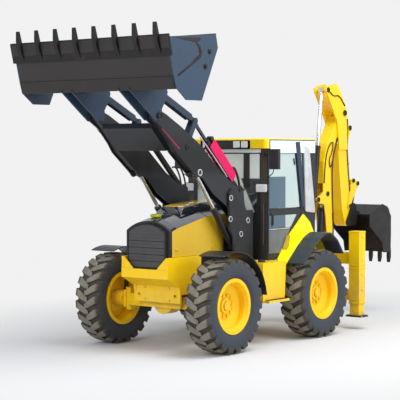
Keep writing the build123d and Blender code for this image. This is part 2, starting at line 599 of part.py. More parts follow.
# Lift cylinders
LIFT_BARREL_LENGTH = 760.0
GAP_SIDE = 2.0
with BuildPart() as lift_barrels:
    for side in SIDES:
        start = along(LIFT_BASE, LIFT_HEAD, 40)
        end = along(LIFT_BASE, LIFT_HEAD, LIFT_BARREL_LENGTH)
        mid = side * ARM_MID_Y
        bar((start[0], mid, start[1]), (end[0], mid, end[1]), LIFT_BORE)
        side_pin(side, LIFT_BASE, ARM_GAP_LOW + GAP_SIDE, ARM_GAP_HIGH - GAP_SIDE, 46)
        side_pin(side, LIFT_BASE, ARM_GAP_LOW - 5, ARM_GAP_HIGH + 5, LIFT_PIN + FIT, Mode.SUBTRACT)
        inner = along(LIFT_BASE, LIFT_HEAD, 90)
        bar((inner[0], mid, inner[1]), (end[0], mid, end[1]), LIFT_ROD + FIT, Mode.SUBTRACT)
lift_barrels.part.label = "lift_barrels"
export_step(lift_barrels.part, "parts/lift_barrels.step")

with BuildPart() as lift_rods:
    for side in SIDES:
        length = math.dist(LIFT_BASE, LIFT_HEAD)
        start = along(LIFT_BASE, LIFT_HEAD, LIFT_BARREL_LENGTH - 110)
        end = along(LIFT_BASE, LIFT_HEAD, length - 34)
        mid = side * ARM_MID_Y
        bar((start[0], mid, start[1]), (end[0], mid, end[1]), LIFT_ROD)
        side_pin(side, LIFT_HEAD, ARM_GAP_LOW + GAP_SIDE, ARM_GAP_HIGH - GAP_SIDE, 44)
lift_rods.part.label = "lift_rods"
export_step(lift_rods.part, "parts/lift_rods.step")

# Tilt levers on the arms, with the pin that the tilt rods and links share
TILT_PIN = (PIVOT_X + 1181, 3254.0)
LINK_PIN = (PIVOT_X + 1940, 3600.0)
EYE_INNER = 16.0
LEVER = (
    # inner and outer plate, measured from the arm's middle
    (ARM_MID_Y - 50, ARM_MID_Y - 38),
    (ARM_MID_Y + 38, ARM_MID_Y + 50),
)
with BuildPart() as tilt_levers:
    for side in SIDES:
        for low, high in LEVER:
            low_left = (LEVER_PIN[0] - 42, LEVER_PIN[1] - 20)
            low_right = (LEVER_PIN[0] + 42, LEVER_PIN[1] + 10)
            top_right = (TILT_PIN[0] + 44, TILT_PIN[1] + 14)
            top_left = (TILT_PIN[0] - 40, TILT_PIN[1] - 16)
            side_plate(side, (low_left, low_right, top_right, top_left), low, high)
            side_pin(side, LEVER_PIN, low, high, 48)
            side_pin(side, TILT_PIN, low, high, 44)
        side_pin(side, LEVER_PIN, LEVER[0][0], LEVER[1][1], 46)
        side_pin(side, LEVER_PIN, LEVER[0][0] - 1, LEVER[1][1] + 1, ARM_PIN + FIT, Mode.SUBTRACT)
        side_pin(side, TILT_PIN, LEVER[0][0] - 2, ARM_MID_Y - EYE_INNER - PIN_SIDE, 24)
        side_pin(side, TILT_PIN, ARM_MID_Y + EYE_INNER + PIN_SIDE, LEVER[1][1] + 2, 24)
tilt_levers.part.label = "tilt_levers"
export_step(tilt_levers.part, "parts/tilt_levers.step")

# Tilt cylinders, lying on the arms
TILT_BARREL_LENGTH = 1010.0
with BuildPart() as tilt_barrels:
    for side in SIDES:
        start = along(TILT_BASE, TILT_PIN, 40)
        end = along(TILT_BASE, TILT_PIN, TILT_BARREL_LENGTH)
        inner = along(TILT_BASE, TILT_PIN, 90)
        mid = side * ARM_MID_Y
        bar((start[0], mid, start[1]), (end[0], mid, end[1]), TILT_BORE)
        side_pin(side, TILT_BASE, ARM_GAP_LOW + GAP_SIDE, ARM_GAP_HIGH - GAP_SIDE, 44)
        side_pin(side, TILT_BASE, ARM_GAP_LOW - 5, ARM_GAP_HIGH + 5, LIFT_PIN + FIT, Mode.SUBTRACT)
        bar((inner[0], mid, inner[1]), (end[0], mid, end[1]), TILT_ROD + FIT, Mode.SUBTRACT)
tilt_barrels.part.label = "tilt_barrels"
export_step(tilt_barrels.part, "parts/tilt_barrels.step")

with BuildPart() as tilt_rods:
    for side in SIDES:
        length = math.dist(TILT_BASE, TILT_PIN)
        start = along(TILT_BASE, TILT_PIN, TILT_BARREL_LENGTH - 420)
        end = along(TILT_BASE, TILT_PIN, length - 85)
        root = along(TILT_BASE, TILT_PIN, length - 120)
        mid = side * ARM_MID_Y
        bar((start[0], mid, start[1]), (end[0], mid, end[1]), TILT_ROD)
        neck = ((root[0] + 18, root[1] - 19), (TILT_PIN[0] + 24, TILT_PIN[1] - 26),
                (TILT_PIN[0] - 24, TILT_PIN[1] + 26), (root[0] - 18, root[1] + 19))
        side_plate(side, neck, ARM_MID_Y - EYE_INNER, ARM_MID_Y + EYE_INNER)
        side_pin(side, TILT_PIN, ARM_MID_Y - EYE_INNER, ARM_MID_Y + EYE_INNER, 40)
tilt_rods.part.label = "tilt_rods"
export_step(tilt_rods.part, "parts/tilt_rods.step")

# Tilt links, from the levers to the bucket
LINK = (
    (ARM_MID_Y - 36, ARM_MID_Y - 18),
    (ARM_MID_Y + 18, ARM_MID_Y + 36),
)
with BuildPart() as tilt_links:
    for side in SIDES:
        for low, high in LINK:
            shank = ((TILT_PIN[0] - 11, TILT_PIN[1] + 25), (TILT_PIN[0] + 11, TILT_PIN[1] - 25),
                     (LINK_PIN[0] + 11, LINK_PIN[1] - 25), (LINK_PIN[0] - 11, LINK_PIN[1] + 25))
            side_plate(side, shank, low, high)
            side_pin(side, TILT_PIN, low, high, 42)
            side_pin(side, LINK_PIN, low, high, 42)
        rib_start = between(TILT_PIN, LINK_PIN, 0.3)
        rib_end = between(TILT_PIN, LINK_PIN, 0.6)
        rib = ((rib_start[0] - 6, rib_start[1] + 14), (rib_start[0] + 6, rib_start[1] - 14),
               (rib_end[0] + 6, rib_end[1] - 14), (rib_end[0] - 6, rib_end[1] + 14))
        side_plate(side, rib, LINK[0][0], LINK[1][1])
        side_pin(side, TILT_PIN, ARM_MID_Y - 40, ARM_MID_Y + 40, 24 + FIT, Mode.SUBTRACT)
tilt_links.part.label = "tilt_links"
export_step(tilt_links.part, "parts/tilt_links.step")

# Service strut, stowed over the left tilt cylinder on two stays of the arm
STRUT_LENGTH = 740.0
STRUT_WIDTH = 100.0
STRUT_RISE = 70.0
strut_angle = math.atan2(TILT_PIN[1] - TILT_BASE[1], TILT_PIN[0] - TILT_BASE[0])
with BuildPart() as service_strut:
    base = between(TILT_BASE, TILT_PIN, 0.1)
    ux, uz = math.cos(strut_angle), math.sin(strut_angle)

    def on_strut(run, rise):
        return (base[0] + run * ux - rise * uz, base[1] + run * uz + rise * ux)

    low = TILT_BORE + 12
    for near, far in ((ARM_MID_Y - 50, ARM_MID_Y - 42), (ARM_MID_Y + 42, ARM_MID_Y + 50)):
        cheek = (on_strut(60, low), on_strut(60 + STRUT_LENGTH, low),
                 on_strut(60 + STRUT_LENGTH, low + STRUT_RISE), on_strut(60, low + STRUT_RISE))
        plate(cheek, near, far)
    roof = (on_strut(60, low + STRUT_RISE - 8), on_strut(60 + STRUT_LENGTH, low + STRUT_RISE - 8),
            on_strut(60 + STRUT_LENGTH, low + STRUT_RISE), on_strut(60, low + STRUT_RISE))
    plate(roof, ARM_MID_Y - 50, ARM_MID_Y + 50)
    for run, drop in ((120, -150), (560, -215)):
        stay = (on_strut(run, drop), on_strut(run + 30, drop), on_strut(run + 30, low + 30),
                on_strut(run, low + 30))
        plate(stay, ARM_GAP_HIGH - 5, ARM_GAP_HIGH)
        plate(stay, ARM_GAP_LOW, ARM_GAP_LOW + 5)
service_strut.part.label = "service_strut"
export_step(service_strut.part, "parts/service_strut.step")

# Loader bucket: shell, end plates and the brackets it hangs on
BP = BUCKET_PIN
SHELL = (
    # x and z from the bucket pin, bend radius; from the top round the heel to the lip
    (-270, 1079, 0),
    (-150, 770, 300),
    (90, 470, 260),
    (330, 331, 120),
    (591, 331, 90),
    (636, 472, 0),
    (768, 988, 0),
)
END_PLATE = moved(((723, 985), (768, 988), (639, 484), (591, 333), (378, 182), (48, 183), (-306, 896), (-261, 1079)), BP)
EDGE_HALF = 1412.0
with BuildPart() as loader_bucket:
    strip([(BP[0] + dx, BP[1] + dz, bend) for dx, dz, bend in SHELL], SHELL_WALL,
          -BUCKET_HALF_WIDTH, BUCKET_HALF_WIDTH)
    for side in SIDES:
        side_plate(side, END_PLATE, BUCKET_HALF_WIDTH - BUCKET_WALL, BUCKET_HALF_WIDTH)
        bracket = moved(((640, 345), (330, 120), (70, -65), (-45, -60), (-70, 30), (-62, 90),
                         (-165, 240), (-190, 330), (-150, 400), (60, 420), (330, 340)), BP)
        for low, high in ((ARM_INNER_Y - RUN - 20, ARM_INNER_Y - RUN), (ARM_OUTER_Y + RUN, ARM_OUTER_Y + RUN + 20)):
            side_plate(side, bracket, low, high)
        side_pin(side, BP, ARM_INNER_Y - RUN - 22, ARM_OUTER_Y + RUN + 22, ARM_PIN)
        side_pin(side, LINK_PIN, ARM_INNER_Y - RUN - 10, LINK[0][0] - PIN_SIDE, 24)
        side_pin(side, LINK_PIN, LINK[1][1] + PIN_SIDE, ARM_OUTER_Y + RUN + 10, 24)
loader_bucket.part.label = "loader_bucket"
export_step(loader_bucket.part, "parts/loader_bucket.step")

# Cutting edge and teeth
TOOTH_PITCH = 348.0
floor_dir = (SHELL[-1][0] - SHELL[-2][0], SHELL[-1][1] - SHELL[-2][1])
floor_len = math.hypot(*floor_dir)
fx, fz = floor_dir[0] / floor_len, floor_dir[1] / floor_len
nx, nz = fz, -fx
lip = (BP[0] + SHELL[-1][0], BP[1] + SHELL[-1][1])


def on_floor(run, rise):
    return (lip[0] + run * fx + rise * nx, lip[1] + run * fz + rise * nz)


with BuildPart() as bucket_teeth:
    edge = (on_floor(-250, 0), on_floor(30, 0), on_floor(30, 10), on_floor(12, 22), on_floor(-250, 22))
    plate(edge, -EDGE_HALF, EDGE_HALF)
    for place in range(8):
        y = (place - 3.5) * TOOTH_PITCH
        shank = (on_floor(-230, 22), on_floor(-60, 62), on_floor(60, 62), on_floor(195, 26),
                 on_floor(190, 12), on_floor(28, 4), on_floor(28, 12))
        plate(shank, y - 30, y + 30)
bucket_teeth.part.label = "bucket_teeth"
export_step(bucket_teeth.part, "parts/bucket_teeth.step")

# Cab: posts, floor, walls
CAB_FRONT_X = FRONT_AXLE_X - 1450.0
CAB_REAR_X = FRONT_AXLE_X - 2760.0
POST = 85.0
DOOR_FRONT_X = CAB_FRONT_X - 20.0
ROOF_UNDER_Z = 2870.0
SILL_Z = 1290.0
cab_y = CAB_HALF_WIDTH
REAR_PILLAR = ((CAB_FRONT_X - 640, ROOF_UNDER_Z), (CAB_FRONT_X - 740, ROOF_UNDER_Z), (CAB_FRONT_X - 1020, 1850),
               (CAB_FRONT_X - 913, 1850))
DOOR_CURVE = ((CAB_FRONT_X - 905, 1880), (CAB_FRONT_X - 550, 1560), (CAB_FRONT_X - 250, 1230))
with BuildPart() as cab_frame:
    block((CAB_REAR_X, CAB_FRONT_X), (-cab_y + 50, cab_y - 50), (CAB_FLOOR_Z, CAB_FLOOR_Z + 40))
    block((CAB_FRONT_X - 60, CAB_FRONT_X), (-cab_y + 40, cab_y - 40), (CAB_FLOOR_Z, 1900))
    block((CAB_REAR_X, CAB_REAR_X + 60), (-cab_y + 40, cab_y - 40), (CAB_FLOOR_Z, 1780))
    block((CAB_FRONT_X - 60, CAB_FRONT_X), (-cab_y, cab_y), (ROOF_UNDER_Z - 70, ROOF_UNDER_Z))
    block((CAB_REAR_X, CAB_REAR_X + 60), (-cab_y, cab_y), (ROOF_UNDER_Z - 70, ROOF_UNDER_Z))
    for side in SIDES:
        side_block(side, (CAB_FRONT_X - 60, CAB_FRONT_X), (cab_y - 150, cab_y), (CAB_FLOOR_Z, ROOF_UNDER_Z))
        side_block(side, (CAB_REAR_X, CAB_REAR_X + 300), (cab_y - CAB_WALL, cab_y), (1760, ROOF_UNDER_Z))
        side_block(side, (CAB_REAR_X, CAB_FRONT_X), (cab_y - CAB_WALL, cab_y), (ROOF_UNDER_Z - 70, ROOF_UNDER_Z))
        side_plate(side, REAR_PILLAR, cab_y - CAB_WALL, cab_y)
        lower = (DOOR_CURVE[0], DOOR_CURVE[1], DOOR_CURVE[2], (CAB_REAR_X, 1230), (CAB_REAR_X, 1880))
        side_plate(side, lower, cab_y - CAB_WALL, cab_y - 10)
        side_block(side, (CAB_REAR_X, CAB_FRONT_X), (cab_y - CAB_WALL, cab_y), (CAB_FLOOR_Z, 1230))
        for y in (285, 345):
            side_block(side, (CAB_FRONT_X - 10, HINGE[0] + 22), (y - 12, y + 12), (HINGE[1] - 30, HINGE[1] + 14))
        side_pin(side, HINGE, 285, 345, HINGE_RADIUS)
cab_frame.part.label = "cab_frame"
export_step(cab_frame.part, "parts/cab_frame.step")

# Cab roof
ROOF_FRONT_X = CAB_FRONT_X + 60.0
ROOF_REAR_X = CAB_REAR_X - 20.0
with BuildPart() as cab_roof:
    block((ROOF_REAR_X, ROOF_FRONT_X), (-cab_y - 15, cab_y + 15), (ROOF_UNDER_Z, CAB_ROOF_Z))
    fillet(cab_roof.edges().filter_by(Axis.Z), 70)
    fillet(cab_roof.faces().sort_by(Axis.Z)[-1].edges(), 30)
    block((ROOF_FRONT_X - 80, ROOF_FRONT_X + 1), (-400, 400), (ROOF_UNDER_Z - 1, CAB_ROOF_Z - 40), Mode.SUBTRACT)
cab_roof.part.label = "cab_roof"
export_step(cab_roof.part, "parts/cab_roof.step")

# Fixed glass: windscreen, rear window and rear quarter panes
with BuildPart() as cab_glass:
    block((CAB_FRONT_X - 34, CAB_FRONT_X - 34 + GLASS), (-cab_y + 150, cab_y - 150), (1900, ROOF_UNDER_Z - 70))
    block((CAB_REAR_X + 26, CAB_REAR_X + 26 + GLASS), (-cab_y + CAB_WALL, cab_y - CAB_WALL),
          (1780, ROOF_UNDER_Z - 70))
    for side in SIDES:
        quarter = ((CAB_FRONT_X - 762, ROOF_UNDER_Z - 70), (CAB_REAR_X + 300, ROOF_UNDER_Z - 70),
                   (CAB_REAR_X + 300, 1900))
        side_plate(side, quarter, cab_y - 34, cab_y - 34 + GLASS)
cab_glass.part.label = "cab_glass"
export_step(cab_glass.part, "parts/cab_glass.step")

# Doors, hinged on the slanted pillar
DOOR_WALL = 45.0
DOOR_TOP = ROOF_UNDER_Z - 70 - RUN
DOOR_OUT = ((CAB_FRONT_X - 60 - RUN, DOOR_TOP), (CAB_FRONT_X - 640 - 12, DOOR_TOP),
            (CAB_FRONT_X - 895, 1890), (CAB_FRONT_X - 540, 1570), (CAB_FRONT_X - 270, 1270),
            (CAB_FRONT_X - 255, 1230 + RUN), (CAB_FRONT_X - 60 - RUN, 1230 + RUN))
UPPER_PANE = ((CAB_FRONT_X - 120, DOOR_TOP - 55), (CAB_FRONT_X - 615, DOOR_TOP - 55),
              (CAB_FRONT_X - 820, 1960), (CAB_FRONT_X - 120, 1960))
LOWER_PANE = ((CAB_FRONT_X - 120, 1850), (CAB_FRONT_X - 760, 1850), (CAB_FRONT_X - 575, 1670),
              (CAB_FRONT_X - 120, 1670))
for name, side in (("door_left", 1), ("door_right", -1)):
    with BuildPart() as door:
        side_plate(side, DOOR_OUT, cab_y - DOOR_WALL, cab_y)
        side_plate(side, UPPER_PANE, cab_y - DOOR_WALL - 1, cab_y + 1, Mode.SUBTRACT)
        side_plate(side, LOWER_PANE, cab_y - DOOR_WALL - 1, cab_y + 1, Mode.SUBTRACT)
    door.part.label = name
    export_step(door.part, "parts/" + name + ".step")
    with BuildPart() as door_glass:
        side_plate(side, UPPER_PANE, cab_y - 26, cab_y - 26 + GLASS)
        side_plate(side, LOWER_PANE, cab_y - 26, cab_y - 26 + GLASS)
    door_glass.part.label = name + "_glass"
    export_step(door_glass.part, "parts/" + name + "_glass.step")

# Rear fenders: yellow shoulder against the cab, dark flare over the tyre
FLARE = (
    # x and z from the rear axle, bend radius; from the front over the tyre to the rear
    (618, 490, 0),
    (500, 590, 120),
    (330, 735, 250),
    (160, 855, 260),
    (0, 925, 220),
    (-150, 925, 220),
    (-350, 800, 300),
    (-520, 590, 0),
)
FLARE_WALL = 22.0
SHOULDER_PATH = ((640, 538), (585, 600), (490, 716), (325, 898), (-60, 1195), (-250, 1060), (-420, 800))
with BuildPart() as rear_fenders:
    for side in SIDES:
        rows = [(REAR[0] + dx, REAR[1] + dz, bend) for dx, dz, bend in FLARE]
        strip(rows, FLARE_WALL, *sorted((side * cab_y, side * FENDER_OUTER_Y)))
        wall_low = [(x, z - FLARE_WALL / 2) for x, z, bend in rows]
        wall_high = moved(SHOULDER_PATH, REAR)
        side_plate(side, wall_low + wall_high[::-1], cab_y, cab_y + 20)
rear_fenders.part.label = "rear_fenders"
export_step(rear_fenders.part, "parts/rear_fenders.step")

# Seat and controls
with BuildPart() as seat:
    sx = CAB_FRONT_X - 760
    cushion = ((sx - 240, 1600, 20), (sx + 250, 1600, 30), (sx + 240, 1730, 55), (sx - 100, 1705, 60),
               (sx - 240, 1720, 10))
    soft_plate(cushion, -240, 240)
    back = ((sx - 240, 1700, 0), (sx - 345, 2330, 30), (sx - 250, 2345, 40), (sx - 150, 1960, 200),
            (sx - 110, 1715, 0))
    soft_plate(back, -225, 225)
    for side in SIDES:
        side_block(side, (sx - 230, sx + 60), (240, 290), (1870, 1905))
        side_block(side, (sx - 215, sx - 165), (220, 280), (1650, 1880))
    block((sx - 150, sx + 150), (-150, 150), (CAB_FLOOR_Z + 40, 1600))
seat.part.label = "seat"
export_step(seat.part, "parts/seat.step")

with BuildPart() as steering_console:
    cx = CAB_FRONT_X - 60
    console = ((cx, CAB_FLOOR_Z + 40), (cx, 1900), (cx - 150, 1920), (cx - 230, 1700), (cx - 130, CAB_FLOOR_Z + 40))
    plate(console, -170, 170)
    bar((cx - 160, 0, 1800), (cx - 300, 0, 2020), 22)
    with Locations(Location((cx - 300, 0, 2020), (0, -32, 0))):
        Torus(190, 14)
        Box(380, 24, 14)
steering_console.part.label = "steering_console"
export_step(steering_console.part, "parts/steering_console.step")

# Work lamps on the roof and posts, and mirrors
LAMP_PLACES = ((100, 2925), (280, 2925))
with BuildPart() as cab_lamps:
    for side in SIDES:
        for y, z in LAMP_PLACES:
            block((ROOF_FRONT_X - 80, ROOF_FRONT_X - 10), (side * y - 62, side * y + 62), (z - 50, z + 52))
        side_block(side, (CAB_FRONT_X, CAB_FRONT_X + 75), (cab_y - 150, cab_y + 20), (2235, 2345))
cab_lamps.part.label = "cab_lamps"
export_step(cab_lamps.part, "parts/cab_lamps.step")

with BuildPart() as mirrors:
    for side in SIDES:
        side_block(side, (CAB_FRONT_X, CAB_FRONT_X + 60), (cab_y + 60, cab_y + 220), (2560, 2860))
        bar((CAB_FRONT_X + 20, side * (cab_y - 60), 2780), (CAB_FRONT_X + 20, side * (cab_y + 80), 2780), 11)
        side_block(side, (CAB_FRONT_X, CAB_FRONT_X + 40), (cab_y - 90, cab_y - 40), (2750, 2810))
mirrors.part.label = "mirrors"
export_step(mirrors.part, "parts/mirrors.step")

# Exhaust stack beside the bonnet
MUFFLER_RADIUS = 62.0
STACK = (TOWER_REAR_X - MUFFLER_RADIUS - SLIP, -500.0)
with BuildPart() as exhaust:
    bar((STACK[0], STACK[1], 1500), (STACK[0], STACK[1], 2080), MUFFLER_RADIUS)
    bar((STACK[0], STACK[1], 2080), (STACK[0], STACK[1], 2520), 32)
    bar((STACK[0], STACK[1], 1560), (STACK[0] + 60, -RAIL_INNER_Y, 1450), 30)
exhaust.part.label = "exhaust"
export_step(exhaust.part, "parts/exhaust.step")

# Rear frame: two beams the hoe shifts along, and the outer stabilizer legs
BEAM_FRONT_X = FRAME_REAR_X
BEAM_REAR_X = FRAME_REAR_X - 120.0
LEG_FRONT_X = FRAME_REAR_X + 60.0
LEG_REAR_X = LEG_FRONT_X - LEG_SIZE
LEG_INNER_Y = LEG_OUTER_Y - LEG_SIZE
BEAMS = ((1030, 1210), (450, 620))
LEG_BASE_Z = 400.0
LEG_TOP_Z = 1560.0
with BuildPart() as rear_frame:
    for low, high in BEAMS:
        block((BEAM_REAR_X, BEAM_FRONT_X), (-LEG_INNER_Y - 5, LEG_INNER_Y + 5), (low, high))
    for side in SIDES:
        side_block(side, (LEG_REAR_X, LEG_FRONT_X), (LEG_INNER_Y, LEG_OUTER_Y), (LEG_BASE_Z, LEG_TOP_Z))
        side_block(side, (LEG_REAR_X + LEG_WALL, LEG_FRONT_X - LEG_WALL),
                   (LEG_INNER_Y + LEG_WALL, LEG_OUTER_Y - LEG_WALL),
                   (LEG_BASE_Z - 1, LEG_TOP_Z - LEG_WALL), Mode.SUBTRACT)
        side_block(side, (BEAM_REAR_X + 30, BEAM_FRONT_X), (RAIL_INNER_Y, RAIL_OUTER_Y), (600, 1050))
rear_frame.part.label = "rear_frame"
export_step(rear_frame.part, "parts/rear_frame.step")

# Stabilizers, sliding in the outer legs
for name, side in (("stabilizer_left", 1), ("stabilizer_right", -1)):
    with BuildPart() as stabilizer:
        slack = LEG_WALL + SLIP
        side_block(side, (LEG_REAR_X + slack, LEG_FRONT_X - slack), (LEG_INNER_Y + slack, LEG_OUTER_Y - slack),
                   (PAD_Z + 20, 1420))
        mid_x = (LEG_REAR_X + LEG_FRONT_X) / 2
        mid_y = (LEG_INNER_Y + LEG_OUTER_Y) / 2
        side_block(side, (mid_x - PAD_HALF_X, mid_x + PAD_HALF_X), (mid_y - PAD_HALF_Y, mid_y + PAD_HALF_Y),
                   (PAD_Z, PAD_Z + 25))
    stabilizer.part.label = name
    export_step(stabilizer.part, "parts/" + name + ".step")

# Carriage that shifts along the beams, with the forks of the swing post
SWING_X = FRONT_AXLE_X - 4020.0
CARRIAGE_HALF = 330.0
CARRIAGE_FRONT_X = BEAM_REAR_X - SLIP
SWING_RADIUS = 45.0
FORKS = ((670, 750), (1080, 1160))
CARRIAGE_PLATE = 20.0
with BuildPart() as carriage:
    block((CARRIAGE_FRONT_X - CARRIAGE_PLATE, CARRIAGE_FRONT_X), (-CARRIAGE_HALF, CARRIAGE_HALF),
          (BEAMS[1][0] - 40, BEAMS[0][1] + 40))
    block((CARRIAGE_FRONT_X - 10, BEAM_FRONT_X + SLIP + 30), (-CARRIAGE_HALF, CARRIAGE_HALF),
          (BEAMS[0][1] + SLIP, BEAMS[0][1] + 40))
    block((BEAM_FRONT_X + SLIP, BEAM_FRONT_X + SLIP + 30), (-CARRIAGE_HALF + 80, CARRIAGE_HALF - 80),
          (BEAMS[0][1] - 60, BEAMS[0][1] + 40))
    block((CARRIAGE_FRONT_X - 10, BEAM_FRONT_X), (-CARRIAGE_HALF, CARRIAGE_HALF),
          (BEAMS[1][0] - 40, BEAMS[1][0] - SLIP))
    for low, high in FORKS:
        block((SWING_X, CARRIAGE_FRONT_X - 5), (-110, 110), (low, high))
        bar((SWING_X, 0, low), (SWING_X, 0, high), 110)
    bar((SWING_X, 0, FORKS[0][0] - 1), (SWING_X, 0, FORKS[1][1] + 1), SWING_RADIUS + FIT, Mode.SUBTRACT)
carriage.part.label = "carriage"
export_step(carriage.part, "parts/carriage.step")

# Swing post
BOOM_FOOT = (SWING_X - 260, 950.0)
BOOM_RAM_BASE = (SWING_X - 40, 1330.0)
HOE_PIN = 32.0
POST_INNER_Y = BOOM_HALF_WIDTH + RUN
with BuildPart() as swing_post:
    bar((SWING_X, 0, FORKS[0][1] + PIN_SIDE), (SWING_X, 0, FORKS[1][0] - PIN_SIDE), 95)
    bar((SWING_X, 0, FORKS[0][0]), (SWING_X, 0, FORKS[1][1]), SWING_RADIUS)
    cheek = ((SWING_X + 20, 770), (SWING_X + 20, 1060), (SWING_X - 130, 1065), (SWING_X - 130, 1200),
             (SWING_X + 5, 1200), (SWING_X + 10, 1370), (SWING_X - 90, 1385), (SWING_X - 330, 1010),
             (SWING_X - 330, 880), (SWING_X - 220, 770))
    for side in SIDES:
        side_plate(side, cheek, POST_INNER_Y, POST_INNER_Y + 30)
    block((SWING_X - 100, SWING_X), (-POST_INNER_Y - 10, POST_INNER_Y + 10), (770, 1050))
    pin(BOOM_FOOT, -POST_INNER_Y - 34, POST_INNER_Y + 34, HOE_PIN)
    pin(BOOM_RAM_BASE, -POST_INNER_Y - 34, POST_INNER_Y + 34, 28)
swing_post.part.label = "swing_post"
export_step(swing_post.part, "parts/swing_post.step")

# Boom: open channel at the foot, box above the knee
BOOM_HEAD = (SWING_X - 620, 3480.0)
BOOM_RAM_HEAD = (SWING_X - 140, 2120.0)
DIPPER_RAM_BASE = (SWING_X + 145, 2030.0)
BOOM_SIDE = [(SWING_X + dx, z, bend) for dx, z, bend in (
    # x from the swing axis, height, corner radius; from the foot up the front, and down the back
    (-345, 900, 50), (-250, 872, 60), (-180, 950, 80), (-90, 1700, 900), (-40, 1952, 60),
    (125, 1968, 40), (200, 2030, 40), (125, 2092, 60), (-6, 2130, 60), (-6, 2660, 400),
    (-120, 2960, 500), (-560, 3530, 90), (-640, 3568, 40), (-706, 3500, 50), (-690, 3430, 60),
    (-330, 2900, 500), (-230, 2600, 500), (-250, 2100, 900), (-320, 1300, 900))]
BOOM_BACK = ((SWING_X - 335, 1010), (SWING_X - 310, 1010), (SWING_X - 225, 2100), (SWING_X - 205, 2600),
             (SWING_X - 232, 2600), (SWING_X - 252, 2100))
BOOM_BOX = ((SWING_X - 6, 2300), (SWING_X - 6, 2660), (SWING_X - 120, 2960), (SWING_X - 480, 3420),
            (SWING_X - 560, 3240), (SWING_X - 330, 2900), (SWING_X - 230, 2600), (SWING_X - 240, 2300))
BOOM_PLATE = 16.0
RAM_EYE = 42.0
with BuildPart() as boom:
    for side in SIDES:
        side_soft_plate(side, BOOM_SIDE, BOOM_HALF_WIDTH - BOOM_PLATE, BOOM_HALF_WIDTH)
    plate(BOOM_BACK, -BOOM_HALF_WIDTH, BOOM_HALF_WIDTH)
    plate(BOOM_BOX, -BOOM_HALF_WIDTH, BOOM_HALF_WIDTH)
    block((SWING_X - 300, SWING_X - 205), (-60, 60), (2005, 2170), Mode.SUBTRACT)
    pin(BOOM_FOOT, -BOOM_HALF_WIDTH, BOOM_HALF_WIDTH, 62)
    pin(BOOM_FOOT, -BOOM_HALF_WIDTH - 1, BOOM_HALF_WIDTH + 1, HOE_PIN + FIT, Mode.SUBTRACT)
    for side in SIDES:
        side_pin(side, BOOM_RAM_HEAD, RAM_EYE + PIN_SIDE, BOOM_HALF_WIDTH, 28)
    pin(DIPPER_RAM_BASE, -BOOM_HALF_WIDTH, BOOM_HALF_WIDTH, 28)
    pin(BOOM_HEAD, -BOOM_HALF_WIDTH, BOOM_HALF_WIDTH, 58)
    pin(BOOM_HEAD, -BOOM_HALF_WIDTH - 40, BOOM_HALF_WIDTH + 40, HOE_PIN)
boom.part.label = "boom"
export_step(boom.part, "parts/boom.step")

# Boom cylinder
BOOM_BORE = 58.0
BOOM_ROD = 34.0
BOOM_BARREL = 560.0
with BuildPart() as boom_barrel:
    start = along(BOOM_RAM_BASE, BOOM_RAM_HEAD, 45)
    end = along(BOOM_RAM_BASE, BOOM_RAM_HEAD, BOOM_BARREL)
    inner = along(BOOM_RAM_BASE, BOOM_RAM_HEAD, 100)
    bar((start[0], 0, start[1]), (end[0], 0, end[1]), BOOM_BORE)
    pin(BOOM_RAM_BASE, -48, 48, 50)
    pin(BOOM_RAM_BASE, -60, 60, 28 + FIT, Mode.SUBTRACT)
    bar((inner[0], 0, inner[1]), (end[0], 0, end[1]), BOOM_ROD + FIT, Mode.SUBTRACT)
boom_barrel.part.label = "boom_barrel"
export_step(boom_barrel.part, "parts/boom_barrel.step")

with BuildPart() as boom_rod:
    length = math.dist(BOOM_RAM_BASE, BOOM_RAM_HEAD)
    start = along(BOOM_RAM_BASE, BOOM_RAM_HEAD, BOOM_BARREL - 440)
    end = along(BOOM_RAM_BASE, BOOM_RAM_HEAD, length - 36)
    bar((start[0], 0, start[1]), (end[0], 0, end[1]), BOOM_ROD)
    pin(BOOM_RAM_HEAD, -RAM_EYE, RAM_EYE, 44)
boom_rod.part.label = "boom_rod"
export_step(boom_rod.part, "parts/boom_rod.step")

# Dipper
DIPPER_RAM_HEAD = (SWING_X - 100, 3850.0)
TIP_PIN = (SWING_X - 750, 1630.0)
LEVER_FOOT = (SWING_X - 790, 1900.0)
CURL_BASE = (SWING_X - 800, 3230.0)
DIPPER_CHEEK_INNER = BOOM_HALF_WIDTH + RUN
DIPPER_CHEEK_OUTER = DIPPER_CHEEK_INNER + 24
HORN = [(SWING_X + dx, z, bend) for dx, z, bend in (
    # x from the swing axis, height, corner radius
    (-34, 3835, 30), (-90, 3915, 40), (-360, 3966, 80), (-430, 3930, 60), (-705, 3520, 120),
    (-718, 3400, 150), (-740, 2860, 0), (-462, 2860, 0), (-405, 3310, 200), (-90, 3770, 60))]
LOWER_BOX = [(SWING_X + dx, z, bend) for dx, z, bend in (
    # x from the swing axis, height, corner radius
    (-452, 2960, 0), (-728, 2960, 0), (-790, 2460, 900), (-864, 2000, 500), (-864, 1860, 150),
    (-812, 1590, 45), (-750, 1552, 50), (-685, 1585, 45), (-590, 1830, 300), (-490, 2520, 900))]
